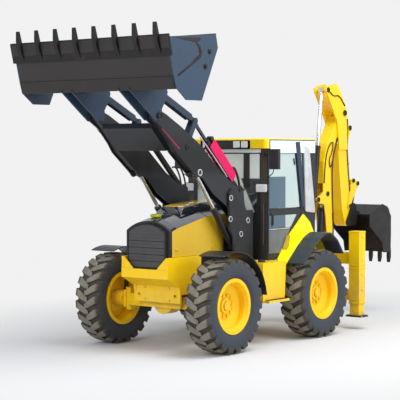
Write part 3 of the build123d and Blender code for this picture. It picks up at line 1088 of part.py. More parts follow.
with BuildPart() as dipper:
    for side in SIDES:
        side_soft_plate(side, HORN, DIPPER_CHEEK_INNER, DIPPER_CHEEK_OUTER)
    soft_plate(LOWER_BOX, -DIPPER_HALF_WIDTH, DIPPER_HALF_WIDTH)
    for side in SIDES:
        curl_lug = ((SWING_X - 700, 3100), (SWING_X - 700, 3260), (CURL_BASE[0] - 40, CURL_BASE[1] + 40),
                    (CURL_BASE[0] - 45, CURL_BASE[1] - 40), (SWING_X - 735, 3020))
        side_plate(side, curl_lug, DIPPER_CHEEK_INNER, DIPPER_CHEEK_OUTER)
        side_pin(side, DIPPER_RAM_HEAD, RAM_EYE + PIN_SIDE, DIPPER_CHEEK_OUTER, 28)
    pin(CURL_BASE, -DIPPER_CHEEK_OUTER, DIPPER_CHEEK_OUTER, 24)
    pin(BOOM_HEAD, -DIPPER_CHEEK_OUTER - 1, DIPPER_CHEEK_OUTER + 1, HOE_PIN + FIT, Mode.SUBTRACT)
    pin(TIP_PIN, -DIPPER_HALF_WIDTH - 1, DIPPER_HALF_WIDTH + 1, 30 + FIT, Mode.SUBTRACT)
    pin(LEVER_FOOT, -DIPPER_HALF_WIDTH - 36, DIPPER_HALF_WIDTH + 36, 26)
dipper.part.label = "dipper"
export_step(dipper.part, "parts/dipper.step")

# Dipper cylinder
DIPPER_BORE = 48.0
DIPPER_ROD = 32.0
DIPPER_BARREL = 900.0
with BuildPart() as dipper_barrel:
    start = along(DIPPER_RAM_BASE, DIPPER_RAM_HEAD, 45)
    end = along(DIPPER_RAM_BASE, DIPPER_RAM_HEAD, DIPPER_BARREL)
    inner = along(DIPPER_RAM_BASE, DIPPER_RAM_HEAD, 100)
    bar((start[0], 0, start[1]), (end[0], 0, end[1]), DIPPER_BORE)
    pin(DIPPER_RAM_BASE, -48, 48, 50)
    pin(DIPPER_RAM_BASE, -60, 60, 28 + FIT, Mode.SUBTRACT)
    bar((inner[0], 0, inner[1]), (end[0], 0, end[1]), DIPPER_ROD + FIT, Mode.SUBTRACT)
dipper_barrel.part.label = "dipper_barrel"
export_step(dipper_barrel.part, "parts/dipper_barrel.step")

with BuildPart() as dipper_rod:
    length = math.dist(DIPPER_RAM_BASE, DIPPER_RAM_HEAD)
    start = along(DIPPER_RAM_BASE, DIPPER_RAM_HEAD, DIPPER_BARREL - 60)
    end = along(DIPPER_RAM_BASE, DIPPER_RAM_HEAD, length - 36)
    bar((start[0], 0, start[1]), (end[0], 0, end[1]), DIPPER_ROD)
    pin(DIPPER_RAM_HEAD, -RAM_EYE, RAM_EYE, 46)
dipper_rod.part.label = "dipper_rod"
export_step(dipper_rod.part, "parts/dipper_rod.step")

# Tipping lever, bucket link and bucket cylinder
LEVER_TOP = (SWING_X - 910, 2330.0)
LEVER_REAR = (SWING_X - 1050, 2280.0)
BUCKET_LINK_PIN = (SWING_X - 950, 1900.0)
LEVER_NEAR = DIPPER_HALF_WIDTH + RUN
LEVER_FAR = LEVER_NEAR + 16
with BuildPart() as tipping_lever:
    for side in SIDES:
        cheek = ((LEVER_FOOT[0] + 36, LEVER_FOOT[1] + 10), (LEVER_TOP[0] + 40, LEVER_TOP[1] + 20),
                 (LEVER_TOP[0], LEVER_TOP[1] + 42), (LEVER_REAR[0] - 40, LEVER_REAR[1] + 20),
                 (LEVER_REAR[0] - 30, LEVER_REAR[1] - 30), (LEVER_FOOT[0] - 36, LEVER_FOOT[1] + 10))
        side_plate(side, cheek, LEVER_NEAR, LEVER_FAR)
        side_pin(side, LEVER_FOOT, LEVER_NEAR, LEVER_FAR, 42)
        side_pin(side, LEVER_FOOT, LEVER_NEAR - 1, LEVER_FAR + 1, 26 + FIT, Mode.SUBTRACT)
        side_pin(side, LEVER_TOP, RAM_EYE + PIN_SIDE, LEVER_FAR + 6, 24)
    pin(LEVER_REAR, -LEVER_FAR - 6, LEVER_FAR + 6, 24)
tipping_lever.part.label = "tipping_lever"
export_step(tipping_lever.part, "parts/tipping_lever.step")

LINK_NEAR = 62.0
LINK_FAR = 82.0
with BuildPart() as bucket_link:
    for side in SIDES:
        shank = ((LEVER_REAR[0] - 34, LEVER_REAR[1]), (LEVER_REAR[0] + 34, LEVER_REAR[1]),
                 (BUCKET_LINK_PIN[0] + 34, BUCKET_LINK_PIN[1]), (BUCKET_LINK_PIN[0] - 34, BUCKET_LINK_PIN[1]))
        side_plate(side, shank, LINK_NEAR, LINK_FAR)
        side_pin(side, LEVER_REAR, LINK_NEAR, LINK_FAR, 40)
        side_pin(side, BUCKET_LINK_PIN, LINK_NEAR, LINK_FAR, 40)
    web = [between(LEVER_REAR, BUCKET_LINK_PIN, share) for share in (0.42, 0.62)]
    block((web[1][0] - 28, web[0][0] + 20), (-70, 70), (web[1][1], web[0][1]))
    pin(LEVER_REAR, -90, 90, 24 + FIT, Mode.SUBTRACT)
bucket_link.part.label = "bucket_link"
export_step(bucket_link.part, "parts/bucket_link.step")

CURL_BORE = 46.0
CURL_ROD = 26.0
CURL_BARREL = 640.0
with BuildPart() as curl_barrel:
    start = along(CURL_BASE, LEVER_TOP, 40)
    end = along(CURL_BASE, LEVER_TOP, CURL_BARREL)
    inner = along(CURL_BASE, LEVER_TOP, 90)
    bar((start[0], 0, start[1]), (end[0], 0, end[1]), CURL_BORE)
    pin(CURL_BASE, -48, 48, 42)
    pin(CURL_BASE, -60, 60, 24 + FIT, Mode.SUBTRACT)
    bar((inner[0], 0, inner[1]), (end[0], 0, end[1]), CURL_ROD + FIT, Mode.SUBTRACT)
curl_barrel.part.label = "curl_barrel"
export_step(curl_barrel.part, "parts/curl_barrel.step")

with BuildPart() as curl_rod:
    length = math.dist(CURL_BASE, LEVER_TOP)
    start = along(CURL_BASE, LEVER_TOP, CURL_BARREL - 520)
    end = along(CURL_BASE, LEVER_TOP, length - 30)
    bar((start[0], 0, start[1]), (end[0], 0, end[1]), CURL_ROD)
    pin(LEVER_TOP, -RAM_EYE, RAM_EYE, 38)
curl_rod.part.label = "curl_rod"
export_step(curl_rod.part, "parts/curl_rod.step")

# Hoe bucket with side cutters and teeth
JP = TIP_PIN
HB_OUT = moved(((-265, 130), (-265, -70), (-700, -370), (-740, -555), (-985, -560), (-1000, 70),
                (-880, 230), (-700, 290)), JP)
SCOOP = (
    # x and z from the bucket pin, bend radius; from the ears round the back to the lip
    (-300, 122, 0),
    (-700, 288, 160),
    (-905, 232, 150),
    (-996, 40, 220),
    (-1000, -250, 400),
    (-985, -560, 0),
)
with BuildPart() as hoe_bucket:
    strip([(JP[0] + dx, JP[1] + dz, bend) for dx, dz, bend in SCOOP], SCOOP_WALL,
          -HOE_BUCKET_HALF_WIDTH, HOE_BUCKET_HALF_WIDTH)
    for side in SIDES:
        side_plate(side, HB_OUT, HOE_BUCKET_HALF_WIDTH - 14, HOE_BUCKET_HALF_WIDTH)
        ear = moved(((30, -60), (60, 0), (20, 60), (-140, 300), (-200, 315), (-255, 285), (-270, 180),
                     (-420, 150), (-560, 216), (-300, 60), (-250, -60), (-60, -70)), JP)
        ear_near = DIPPER_HALF_WIDTH + RUN
        side_plate(side, ear, ear_near, ear_near + 22)
    pin(JP, -DIPPER_HALF_WIDTH - RUN - 24, DIPPER_HALF_WIDTH + RUN + 24, 30)
    for side in SIDES:
        side_pin(side, BUCKET_LINK_PIN, LINK_FAR + PIN_SIDE, ear_near + 24, 26)
    block((JP[0] - 560, JP[0] - 300), (-DIPPER_HALF_WIDTH - RUN - 5, DIPPER_HALF_WIDTH + RUN + 5),
          (JP[1] + 105, JP[1] + 130))
    for place in range(HOE_TEETH):
        y = (place - (HOE_TEETH - 1) / 2) * (2 * HOE_BUCKET_HALF_WIDTH - 70) / (HOE_TEETH - 1)
        tooth = moved(((-1000, -470), (-1012, -540), (-1012, -650), (-975, -740), (-958, -650),
                       (-960, -540), (-976, -500)), JP)
        plate(tooth, y - 30, y + 30)
hoe_bucket.part.label = "hoe_bucket"
export_step(hoe_bucket.part, "parts/hoe_bucket.step")
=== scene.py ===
# %% [markdown]
# # A backhoe loader, dressed around its CAD frame
# The solids of the machine, with its joints, come ready made. This lesson gives them their
# paint, steel, rubber and glass, and models the finer pieces that ride on them. Everything is in
# metres: X runs forward, Y to the machine's left and Z up from the ground.
# %% Load the frame
import math

import bmesh
import bpy
from mathutils import Matrix, Vector


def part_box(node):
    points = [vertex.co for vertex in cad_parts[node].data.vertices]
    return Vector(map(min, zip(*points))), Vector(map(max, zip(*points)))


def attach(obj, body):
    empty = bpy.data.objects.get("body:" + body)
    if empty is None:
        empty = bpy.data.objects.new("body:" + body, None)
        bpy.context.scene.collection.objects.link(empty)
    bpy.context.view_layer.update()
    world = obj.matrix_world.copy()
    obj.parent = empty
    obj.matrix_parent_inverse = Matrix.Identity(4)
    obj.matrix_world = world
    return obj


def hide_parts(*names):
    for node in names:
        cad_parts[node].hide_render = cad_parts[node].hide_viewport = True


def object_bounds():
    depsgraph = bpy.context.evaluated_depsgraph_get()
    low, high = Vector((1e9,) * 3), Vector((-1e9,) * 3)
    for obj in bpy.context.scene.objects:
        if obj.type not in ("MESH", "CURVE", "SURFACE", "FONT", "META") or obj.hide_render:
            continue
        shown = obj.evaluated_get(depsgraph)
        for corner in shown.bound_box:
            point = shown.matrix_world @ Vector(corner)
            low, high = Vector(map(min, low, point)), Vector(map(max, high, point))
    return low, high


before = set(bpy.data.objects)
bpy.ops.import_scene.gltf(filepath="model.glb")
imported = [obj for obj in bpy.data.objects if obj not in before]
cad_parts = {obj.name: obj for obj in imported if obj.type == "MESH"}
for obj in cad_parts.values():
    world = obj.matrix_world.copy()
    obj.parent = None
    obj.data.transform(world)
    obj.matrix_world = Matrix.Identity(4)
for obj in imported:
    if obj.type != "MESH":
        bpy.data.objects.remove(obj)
cad_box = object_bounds()
low, high = cad_box
print("machine is", [round(b - a, 3) for a, b in zip(low, high)], "m long, wide and high")

# %% Places that many pieces share
front_tyre, rear_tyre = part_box("tyre_front_left"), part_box("tyre_rear_left")
FRONT_AXLE_X = (front_tyre[0].x + front_tyre[1].x) / 2
REAR_AXLE_X = (rear_tyre[0].x + rear_tyre[1].x) / 2
AXLE_Z = 0.668
WHEEL_Y = 1.003
SIDES = (1, -1)
ARM_PIVOT_X = FRONT_AXLE_X - 1.110
CAB_FRONT_X = FRONT_AXLE_X - 1.450
CAB_REAR_X = FRONT_AXLE_X - 2.760
CAB_Y = 0.750
SWING_X = FRONT_AXLE_X - 4.020
BUCKET_PIN = (ARM_PIVOT_X + 2.071, 3.306)
print("front axle at x =", round(FRONT_AXLE_X, 3), "and rear axle at x =", round(REAR_AXLE_X, 3))

# %% [markdown]
# ## Camera
# The photograph is a long-lens view from the front left, almost level. A long focal length far
# away keeps the machine's edges nearly parallel.
# %% Camera at the photograph's angle
YAW, PITCH = math.radians(37.2492), math.radians(1.9194)
FOCAL_PIXELS = 1393.674
PICTURE = 400
bpy.ops.object.camera_add(
    location=(15.653 + FRONT_AXLE_X, 12.483, 2.797),
    rotation=(math.pi / 2 - PITCH, 0, math.pi / 2 + YAW),
)
camera = bpy.context.object
camera.data.sensor_width = 36
camera.data.lens = 36 * FOCAL_PIXELS / PICTURE
camera.data.clip_end = 200
bpy.context.scene.camera = camera
bpy.context.scene.view_settings.view_transform = "Standard"
print("lens of", round(camera.data.lens, 1), "mm")


# %% [markdown]
# ## Writing shaders as sums
# A paint is mostly arithmetic on masks: how much dust, how worn, how far from the axle. The class
# below wraps a node's output, so that such sums can be written as Python expressions, and each
# operator adds its Math node.
# %% A wire that can be added and multiplied
class Wire:
    def __init__(self, finish, socket):
        self.finish, self.socket = finish, socket

    def join(self, operation, first, second=0.0):
        return self.finish.node("ShaderNodeMath", {"operation": operation}, {0: first, 1: second})

    def __add__(self, other):
        return self.join("ADD", self, other)

    __radd__ = __add__

    def __mul__(self, other):
        return self.join("MULTIPLY", self, other)

    __rmul__ = __mul__

    def __sub__(self, other):
        return self.join("SUBTRACT", self, other)

    def __rsub__(self, other):
        return self.join("SUBTRACT", other, self)

    def __pow__(self, other):
        return self.join("POWER", self, other)

    def size(self):
        return self.join("ABSOLUTE", self)

    def most(self, other):
        return self.join("MAXIMUM", self, other)

    def least(self, other):
        return self.join("MINIMUM", self, other)

    def above(self, edge, width):
        """0 below the edge, 1 above it, with a soft step of that width."""
        settings = {"interpolation_type": "SMOOTHSTEP"}
        return self.finish.node("ShaderNodeMapRange", settings,
                                {0: self, 1: edge - width / 2, 2: edge + width / 2})

    def below(self, edge, width):
        return 1 - self.above(edge, width)


# %% A finish: one material and its nodes
class Finish:
    def __init__(self, name, **constants):
        self.material = bpy.data.materials.new(name)
        self.material.use_nodes = True
        self.tree = self.material.node_tree
        self.shader = self.tree.nodes["Principled BSDF"]
        for socket, value in constants.items():
            self.shader.inputs[socket.replace("_", " ")].default_value = value
        self.place = self.node("ShaderNodeTexCoord", {}, {}, "Object")
        self.x, self.y, self.z = [self.node("ShaderNodeSeparateXYZ", {}, {0: self.place}, axis)
                                  for axis in "XYZ"]

    def node(self, kind, settings, sockets, output=0):
        made = self.tree.nodes.new(kind)
        for key, value in settings.items():
            setattr(made, key, value)
        for key, value in sockets.items():
            if isinstance(value, Wire):
                self.tree.links.new(value.socket, made.inputs[key])
            elif isinstance(value, tuple) and len(value) == 3 and made.inputs[key].type == "RGBA":
                made.inputs[key].default_value = (*value, 1)
            else:
                made.inputs[key].default_value = value
        return Wire(self, made.outputs[output])

    def noise(self, scale, detail=3.0, rough=0.55, place=None):
        sockets = {"Vector": place or self.place, "Scale": scale, "Detail": detail, "Roughness": rough}
        return self.node("ShaderNodeTexNoise", {}, sockets)

    def mix(self, share, first, second):
        return self.node("ShaderNodeMix", {"data_type": "RGBA"}, {0: share, 6: first, 7: second}, 2)

    def feed(self, socket, value):
        self.tree.links.new(value.socket, self.shader.inputs[socket])

    def bump(self, height, strength, distance=0.002):
        made = self.node("ShaderNodeBump", {}, {"Height": height, "Strength": strength,
                                                "Distance": distance})
        self.feed("Normal", made)


# %% [markdown]
# ## Paint
# Machine enamel is a thick, slightly wavy gloss coat. Close up it shows orange peel, on a worn
# machine it shows chalky patches, and near the ground it carries dust. One function makes every
# painted finish, so that all of them age in the same way.
# %% Enamel
DUST = (0.34, 0.26, 0.15)


def enamel(name, colour, shade, roughness=0.32, dust=0.5, coat=0.35, second=None, where=None):
    paint = Finish(name, Coat_Roughness=0.1, Coat_Weight=coat, Specular_IOR_Level=0.3)
    patches = paint.noise(1.7, 5, 0.6).above(0.52, 0.3)
    flecks = paint.noise(38, 3, 0.7).above(0.68, 0.08)
    splash = paint.z.below(0.75, 1.1) * paint.noise(5, 6, 0.65).above(0.5, 0.35)
    body = paint.mix(patches * 0.55, colour, shade)
    if second:
        other = paint.mix(patches * 0.5, second, tuple(1.3 * part for part in second))
        body = paint.mix(where(paint), body, other)
    body = paint.mix(flecks * 0.18, body, tuple(0.6 * part for part in colour))
    paint.feed("Base Color", paint.mix(splash * dust, body, DUST))
    paint.feed("Roughness", roughness + 0.12 * patches + 0.3 * splash * dust)
    paint.bump(paint.noise(160, 2, 0.5), 0.05, 0.001)
    return paint


YELLOW = (0.93, 0.60, 0.004)
YELLOW_SHADE = (0.87, 0.53, 0.004)
CHARCOAL = (0.013, 0.012, 0.015)
CHARCOAL_SHADE = (0.020, 0.018, 0.022)
SLATE = (0.030, 0.056, 0.100)
yellow = enamel("yellow_enamel", YELLOW, YELLOW_SHADE, 0.32, 0.5, 0.15)
# The bonnet panels take a darker copy of the machine yellow, painted shade for their side faces.
hood_yellow_painted_shade = enamel("hood_enamel_painted_shade", (0.70, 0.45, 0.022), (0.62, 0.39, 0.018), 0.35, 0.2, 0.15)
wheel_yellow = enamel("wheel_enamel", (0.95, 0.59, 0.002), (0.90, 0.53, 0.002), 0.42, 0.1, 0.05)
charcoal = enamel("charcoal_enamel", CHARCOAL, CHARCOAL_SHADE, 0.36, 0.3, 0.2)
# The loader arms' colour changes with height: near black in the middle and greyer blue above z 2.98 and below
# z 2.52, a painted reflection.
arm_paint_painted_reflection = enamel("arm_enamel_painted_reflection", (0.004, 0.004, 0.005), (0.007, 0.007, 0.008), 0.36, 0.3, 0.2,
                   (0.014, 0.016, 0.021), lambda paint: paint.z.above(2.98, 0.5) + paint.z.below(2.52, 0.12))
tower_paint = enamel("tower_enamel", (0.013, 0.013, 0.015), (0.018, 0.019, 0.020), 0.4, 0.4, 0.1)
crimson = enamel("crimson_enamel", (0.64, 0.0, 0.085), (0.56, 0.0, 0.07), 0.4, 0.0, 0.1)
TRIM, TRIM_SHADE, PILLAR = (0.019, 0.023, 0.025), (0.027, 0.030, 0.031), (0.060, 0.043, 0.030)
grey_green = enamel("cab_trim", TRIM, TRIM_SHADE, 0.45, 0.2, 0.1)


def pillar_mask(paint):
    """The front faces of the two windscreen pillars."""
    front = paint.x.above(CAB_FRONT_X - 0.004, 0.003)
    strip = front * paint.y.size().above(0.625, 0.006) * paint.y.size().below(0.728, 0.006)
    return strip * paint.z.above(1.4, 0.3)


cab_paint = enamel("cab_enamel", TRIM, TRIM_SHADE, 0.45, 0.2, 0.1, PILLAR, pillar_mask)
print("plain painted finishes made")

# %% [markdown]
# ## Two colours on one casting
# Some castings carry two colours, and the paint line follows a plane, so that a mask on the
# Object coordinates can draw it: the roof has a dark rear skirt, each rear fender a dark flare
# outside its yellow shoulder, and the black bonnet a yellow crest in front of the cab.
# %% Roof, rear fenders and bonnet
def skirt_mask(paint):
    side_face = paint.y.size().above(0.758, 0.004) * paint.x.below(CAB_FRONT_X - 0.01, 0.004)
    return side_face * paint.z.below(3.006, 0.003)


def crest_mask(paint):
    return paint.y.size().below(0.172, 0.006) * paint.x.below(FRONT_AXLE_X - 0.115, 0.01)


roof_paint = enamel("roof_enamel", (0.95, 0.68, 0.004), (0.90, 0.62, 0.004), 0.34, 0, 0.15,
                    (0.045, 0.070, 0.11), skirt_mask)
# The rear fenders' shoulders take a lighter, more lemon copy of the machine yellow, a painted highlight; the
# dark flare outside them is two-tone paint.
fender_paint_painted_highlight = enamel("fender_enamel_painted_highlight", (0.93, 0.84, 0.004), (0.91, 0.79, 0.004), 0.35, 0, 0.1,
                     (0.028, 0.038, 0.044), lambda paint: paint.y.size().above(0.915, 0.004))
gloss_black = enamel("bonnet_enamel", (0.010, 0.012, 0.017), (0.014, 0.016, 0.022), 0.10, 0, 1.0)
crest_paint = enamel("crest_enamel", (0.012, 0.014, 0.020), (0.016, 0.018, 0.024), 0.10, 0, 1.0,
                     YELLOW, crest_mask)
for shiny in (gloss_black, crest_paint):
    shiny.shader.inputs["Coat IOR"].default_value = 2.4
    shiny.shader.inputs["Coat Roughness"].default_value = 0.05

# %% [markdown]
# The bucket is one weldment, but its shell is scraped to bare steel by the soil, while its end
# plates and brackets keep their slate paint. The shell's outer side is convex, so it is the
# greatest of four slanted planes, and whatever lies behind all four is bracket.
# %% Loader bucket
SHELL_LINES = ((-0.270, 1.079, -2.575), (-0.150, 0.770, -1.25), (0.090, 0.470, -0.579), (0.330, 0.331, 0.0))


def shell_mask(paint):
    ahead, up = paint.x - BUCKET_PIN[0], paint.z - BUCKET_PIN[1]
    skin = None
    for x, z, slope in SHELL_LINES:
        line = z + (ahead - x) * slope
        skin = line if skin is None else skin.most(line)
    return (up - skin).above(-0.004, 0.002) * paint.y.size().below(1.362, 0.002)


SLATE_SHADE = (0.026, 0.046, 0.072)
bucket_paint = enamel("bucket_finish", SLATE, SLATE_SHADE, 0.45, 0, 0.1, (0.023, 0.020, 0.021), shell_mask)
slate = enamel("slate_enamel", (0.024, 0.040, 0.066), SLATE_SHADE, 0.45, 0.1, 0.1)

# %% [markdown]
# ## Steel, rubber, glass and cloth
# The cutting edge is bare, scraped steel; the rods are ground chrome. Tyre rubber is browner on
# the tread, where soil stays in it, and bluer on the clean sidewall, and its lug tops are lighter,
# worn and with a painted highlight, so its colour follows the distance from the axle. The panes are
# painted pale green-blue, a painted reflection of the sky, and are only partly clear.
# %% Bare and bright steel
def scraped(name, colour, rough, metal=0.35):
    steel = Finish(name, Metallic=metal)
    long_grain = steel.node("ShaderNodeMapping", {}, {0: steel.place, 3: (1.2, 14, 1.2)})
    streaks = steel.noise(3, 6, 0.7, long_grain).above(0.5, 0.3)
    rust = steel.noise(2.3, 6, 0.7).above(0.6, 0.2)
    body = steel.mix(streaks * 0.5, colour, tuple(1.35 * part for part in colour))
    steel.feed("Base Color", steel.mix(rust * 0.25, body, (0.085, 0.05, 0.035)))
    steel.feed("Roughness", rough + 0.15 * streaks)
    steel.bump(steel.noise(60, 4, 0.7), 0.12, 0.002)
    return steel


def polished(name, colour, shade, rough, metal=1.0):
    steel = Finish(name, Metallic=metal)
    patches = steel.noise(14, 3).above(0.5, 0.3)
    steel.feed("Base Color", steel.mix(patches, colour, shade))
    steel.feed("Roughness", rough + 0.08 * patches)
    return steel


worn_steel = scraped("worn_steel", (0.024, 0.021, 0.022), 0.5)
black_steel = scraped("black_steel", (0.009, 0.008, 0.010), 0.5)
dark_steel = scraped("dark_steel", (0.014, 0.012, 0.012), 0.42)
chrome = polished("rod_chrome", (0.78, 0.78, 0.80), (0.62, 0.62, 0.64), 0.1)
burnished = polished("burnished_rod", (0.11, 0.105, 0.10), (0.07, 0.07, 0.075), 0.3, 0.8)
pin_steel = polished("pin_steel", (0.66, 0.72, 0.76), (0.5, 0.55, 0.6), 0.3, 0.6)

# %% Tyre rubber
rubber = Finish("tyre_rubber", Roughness=0.78)
ahead, behind = rubber.x - FRONT_AXLE_X, rubber.x - REAR_AXLE_X
nearest = (ahead * ahead).least(behind * behind)
rise = rubber.z - AXLE_Z
reach = (nearest + rise * rise) ** 0.5
tread = reach.above(0.592, 0.03)
top_face = reach.above(0.655, 0.012)
soil = rubber.noise(9, 5, 0.7).above(0.48, 0.3)
smooth_wall = rubber.mix(soil * 0.4, (0.034, 0.042, 0.057), (0.045, 0.052, 0.064))
valley = rubber.mix(soil, (0.040, 0.035, 0.028), (0.062, 0.053, 0.042))
# The lug tops are painted far lighter than the grooves: worn rubber, and a painted highlight where the tops
# catch the light.
lug_top_wear_and_highlight = rubber.mix(soil, (0.165, 0.146, 0.112), (0.225, 0.200, 0.158))
rubber.feed("Base Color", rubber.mix(tread, smooth_wall, rubber.mix(top_face, valley, lug_top_wear_and_highlight)))
rubber.bump(rubber.noise(220, 4, 0.7), 0.15, 0.001)

# %% Glass, plastic, cloth and lamps
def pane(name, clear, alpha, painted_patch=None, where=None):
    """Glass painted pale, a painted reflection of the sky, with a darker painted patch that stands for the
    seat behind it.
    """
    made = Finish(name, Roughness=0.04, IOR=1.45, Alpha=alpha)
    body = made.mix(made.noise(0.8, 2).above(0.5, 0.5), clear, tuple(1.15 * part for part in clear))
    made.feed("Base Color", made.mix(where(made), body, painted_patch) if painted_patch else body)
    return made


# Every pane's pale colour is a painted reflection of the sky. The door panes carry a darker painted patch low
# at their front, and the front pane finish one low on the screen's left.
PALE_PAINTED_SKY = (0.50, 0.60, 0.59)
glass = pane("clear_glass", (0.50, 0.68, 0.70), 0.3)
door_pane = pane("door_pane", PALE_PAINTED_SKY, 0.86, (0.095, 0.155, 0.20),
                 lambda made: made.x.above(CAB_FRONT_X - 0.455, 0.01) * made.z.below(2.447, 0.01))
front_pane = pane("front_pane", (0.80, 0.88, 0.84), 0.84, (0.030, 0.042, 0.046),
                  lambda made: ((made.y + made.z * 0.5).above(1.46, 0.03) * made.z.below(2.42, 0.02)
                                * made.y.above(0, 0.1)))


def moulded(name, colour, rough, grain):
    plastic = Finish(name, Roughness=rough)
    plastic.feed("Base Color", plastic.mix(plastic.noise(6, 4).above(0.5, 0.4), colour,
                                           tuple(0.8 * part for part in colour)))
    plastic.bump(plastic.noise(grain, 2, 0.5), 0.2, 0.0006)
    return plastic


black_plastic = moulded("black_plastic", (0.018, 0.019, 0.021), 0.5, 420)
grey_plastic = moulded("grey_plastic", (0.16, 0.17, 0.18), 0.55, 420)
pale_plastic = moulded("pale_plastic", (0.55, 0.56, 0.57), 0.5, 420)
lens = moulded("lamp_lens", (0.86, 0.87, 0.90), 0.1, 60)
amber_lens = moulded("amber_lens", (0.42, 0.30, 0.02), 0.25, 60)
lime_nose_plastic = moulded("lime_nose_plastic", (0.42, 0.46, 0.01), 0.2, 60)
grille_paint = moulded("grille_mesh", (0.052, 0.052, 0.054), 0.5, 90)
hose_rubber = moulded("hose_rubber", (0.012, 0.012, 0.014), 0.55, 300)
seat_cloth = Finish("seat_cloth", Roughness=0.9, Sheen_Weight=0.3)
warp, weft = [seat_cloth.node("ShaderNodeTexWave", {"bands_direction": axis},
                              {"Vector": seat_cloth.place, "Scale": 90}) for axis in "YZ"]
seat_cloth.feed("Base Color", seat_cloth.mix(warp * weft, (0.13, 0.20, 0.29), (0.22, 0.30, 0.40)))
seat_cloth.bump(warp * weft, 0.3, 0.001)

# %% [markdown]
# ## Dressing the CAD pieces
# Each CAD node keeps its mesh and gets its finish by the name of the node.
# %% Finish for each node
WHEELS = {
    "front_left": (FRONT_AXLE_X, 1),
    "front_right": (FRONT_AXLE_X, -1),
    "rear_left": (REAR_AXLE_X, 1),
    "rear_right": (REAR_AXLE_X, -1),
}
finishes = {
    hood_yellow_painted_shade: ["hood_panels"],
    yellow: ["main_frame", "side_tanks", "rear_frame", "stabilizer_left", "stabilizer_right", "boom",
             "dipper", "tipping_lever", "swing_post", "carriage", "front_axle", "rear_axle",
             "knuckle_front_left", "knuckle_front_right"],
    charcoal: ["lift_barrels", "tilt_barrels", "fender_front_left", "fender_front_right", "grille",
               "boom_barrel", "dipper_barrel", "curl_barrel", "bucket_link", "engine_block"],
    arm_paint_painted_reflection: ["loader_arms"],
    tower_paint: ["loader_towers"],
    slate: ["tilt_levers", "tilt_links"],
    gloss_black: ["hood_cover"],
    cab_paint: ["cab_frame"],
    grey_green: ["door_left", "door_right"],
    roof_paint: ["cab_roof"],
    fender_paint_painted_highlight: ["rear_fenders"],
    bucket_paint: ["loader_bucket"],
    black_steel: ["bucket_teeth"],
    dark_steel: ["hoe_bucket"],
    crimson: ["service_strut"],
    chrome: ["lift_rods", "boom_rod", "dipper_rod", "curl_rod"],
    burnished: ["tilt_rods"],
    glass: ["cab_glass", "door_left_glass", "door_right_glass"],
    black_plastic: ["exhaust", "mirrors", "cab_lamps"],
    grey_plastic: ["steering_console"],
    seat_cloth: ["seat"],
    wheel_yellow: ["rim_" + wheel for wheel in WHEELS],
    rubber: ["tyre_" + wheel for wheel in WHEELS],
}
for finish, nodes in finishes.items():
    for node in nodes:
        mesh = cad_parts[node].data
        mesh.materials.clear()
        mesh.materials.append(finish.material)
undressed = set(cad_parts) - {node for nodes in finishes.values() for node in nodes}
print("nodes without a finish:", sorted(undressed))

# %% [markdown]
# ## Shaping parts by hand
# Every finer piece starts from a primitive, is shaped in edit mode, and is finished with a bevel
# that catches the light along its edges, as a rounded steel edge does. These few helpers are the
# hand moves: start a part, pick faces by their place, ease the edges, and gather parts that ride
# on one body into one piece.
# %% Start, pick and settle
def start(kind, **settings):
    """Add one primitive with nothing else selected."""
    bpy.ops.object.select_all(action="DESELECT")
    getattr(bpy.ops.mesh, "primitive_" + kind + "_add")(**settings)
    return bpy.context.object


def pick(kind, test):
    """In edit mode, select the faces or edges whose middle and direction pass the test."""
    bpy.ops.mesh.select_mode(type=kind)
    bpy.ops.mesh.select_all(action="DESELECT")
    cage = bmesh.from_edit_mesh(bpy.context.object.data)
    if kind == "FACE":
        for face in cage.faces:
            face.select_set(test(face.calc_center_median(), face.normal))
    else:
        for edge in cage.edges:
            first, last = (corner.co for corner in edge.verts)
            edge.select_set(test((first + last) / 2, (last - first).normalized()))
    bmesh.update_edit_mesh(bpy.context.object.data)


def settle(part):
    """Leave edit mode and put the part's place and size into its mesh."""
    if bpy.context.mode != "OBJECT":
        bpy.ops.object.mode_set(mode="OBJECT")
    bpy.ops.object.transform_apply(location=True, rotation=True, scale=True)
    return part


def ease(part, width, segments=2):
    """Round the part's sharp edges."""
    bpy.ops.object.modifier_add(type="BEVEL")
    bevel = part.modifiers[-1]
    bevel.width, bevel.segments, bevel.limit_method = width, segments, "ANGLE"
    bpy.ops.object.modifier_apply(modifier=bevel.name)
    return part


# %% Blocks, rods, rings and bolts
def facing(way):
    """The turn that stands a primitive's own Z along that way."""
    return Vector(way).to_track_quat("Z", "Y").to_euler()


def block(low, high, edge=0.004):
    low, high = Vector(low), Vector(high)
    part = start("cube", size=1, location=(low + high) / 2)
    part.scale = [abs(size) for size in high - low]
    return ease(settle(part), edge)


def rod(foot, head, radius, sides=24, edge=0.003):
    reach = Vector(head) - Vector(foot)
    part = start("cylinder", vertices=sides, radius=radius, depth=reach.length,
                 location=(Vector(foot) + Vector(head)) / 2, rotation=facing(reach))
    return ease(settle(part), edge)


def ring(place, along, outer, inner, height, edge=0.003):
    """A rod whose two ends are inset, and bridged to each other to make the hole."""
    part = start("cylinder", vertices=28, radius=outer, depth=height, location=place,
                 rotation=facing(along))
    bpy.ops.object.mode_set(mode="EDIT")
    pick("FACE", lambda middle, normal: abs(normal.z) > 0.9)
    bpy.ops.mesh.inset(thickness=outer - inner, use_individual=True)
    bpy.ops.mesh.bridge_edge_loops()
    return ease(settle(part), edge)


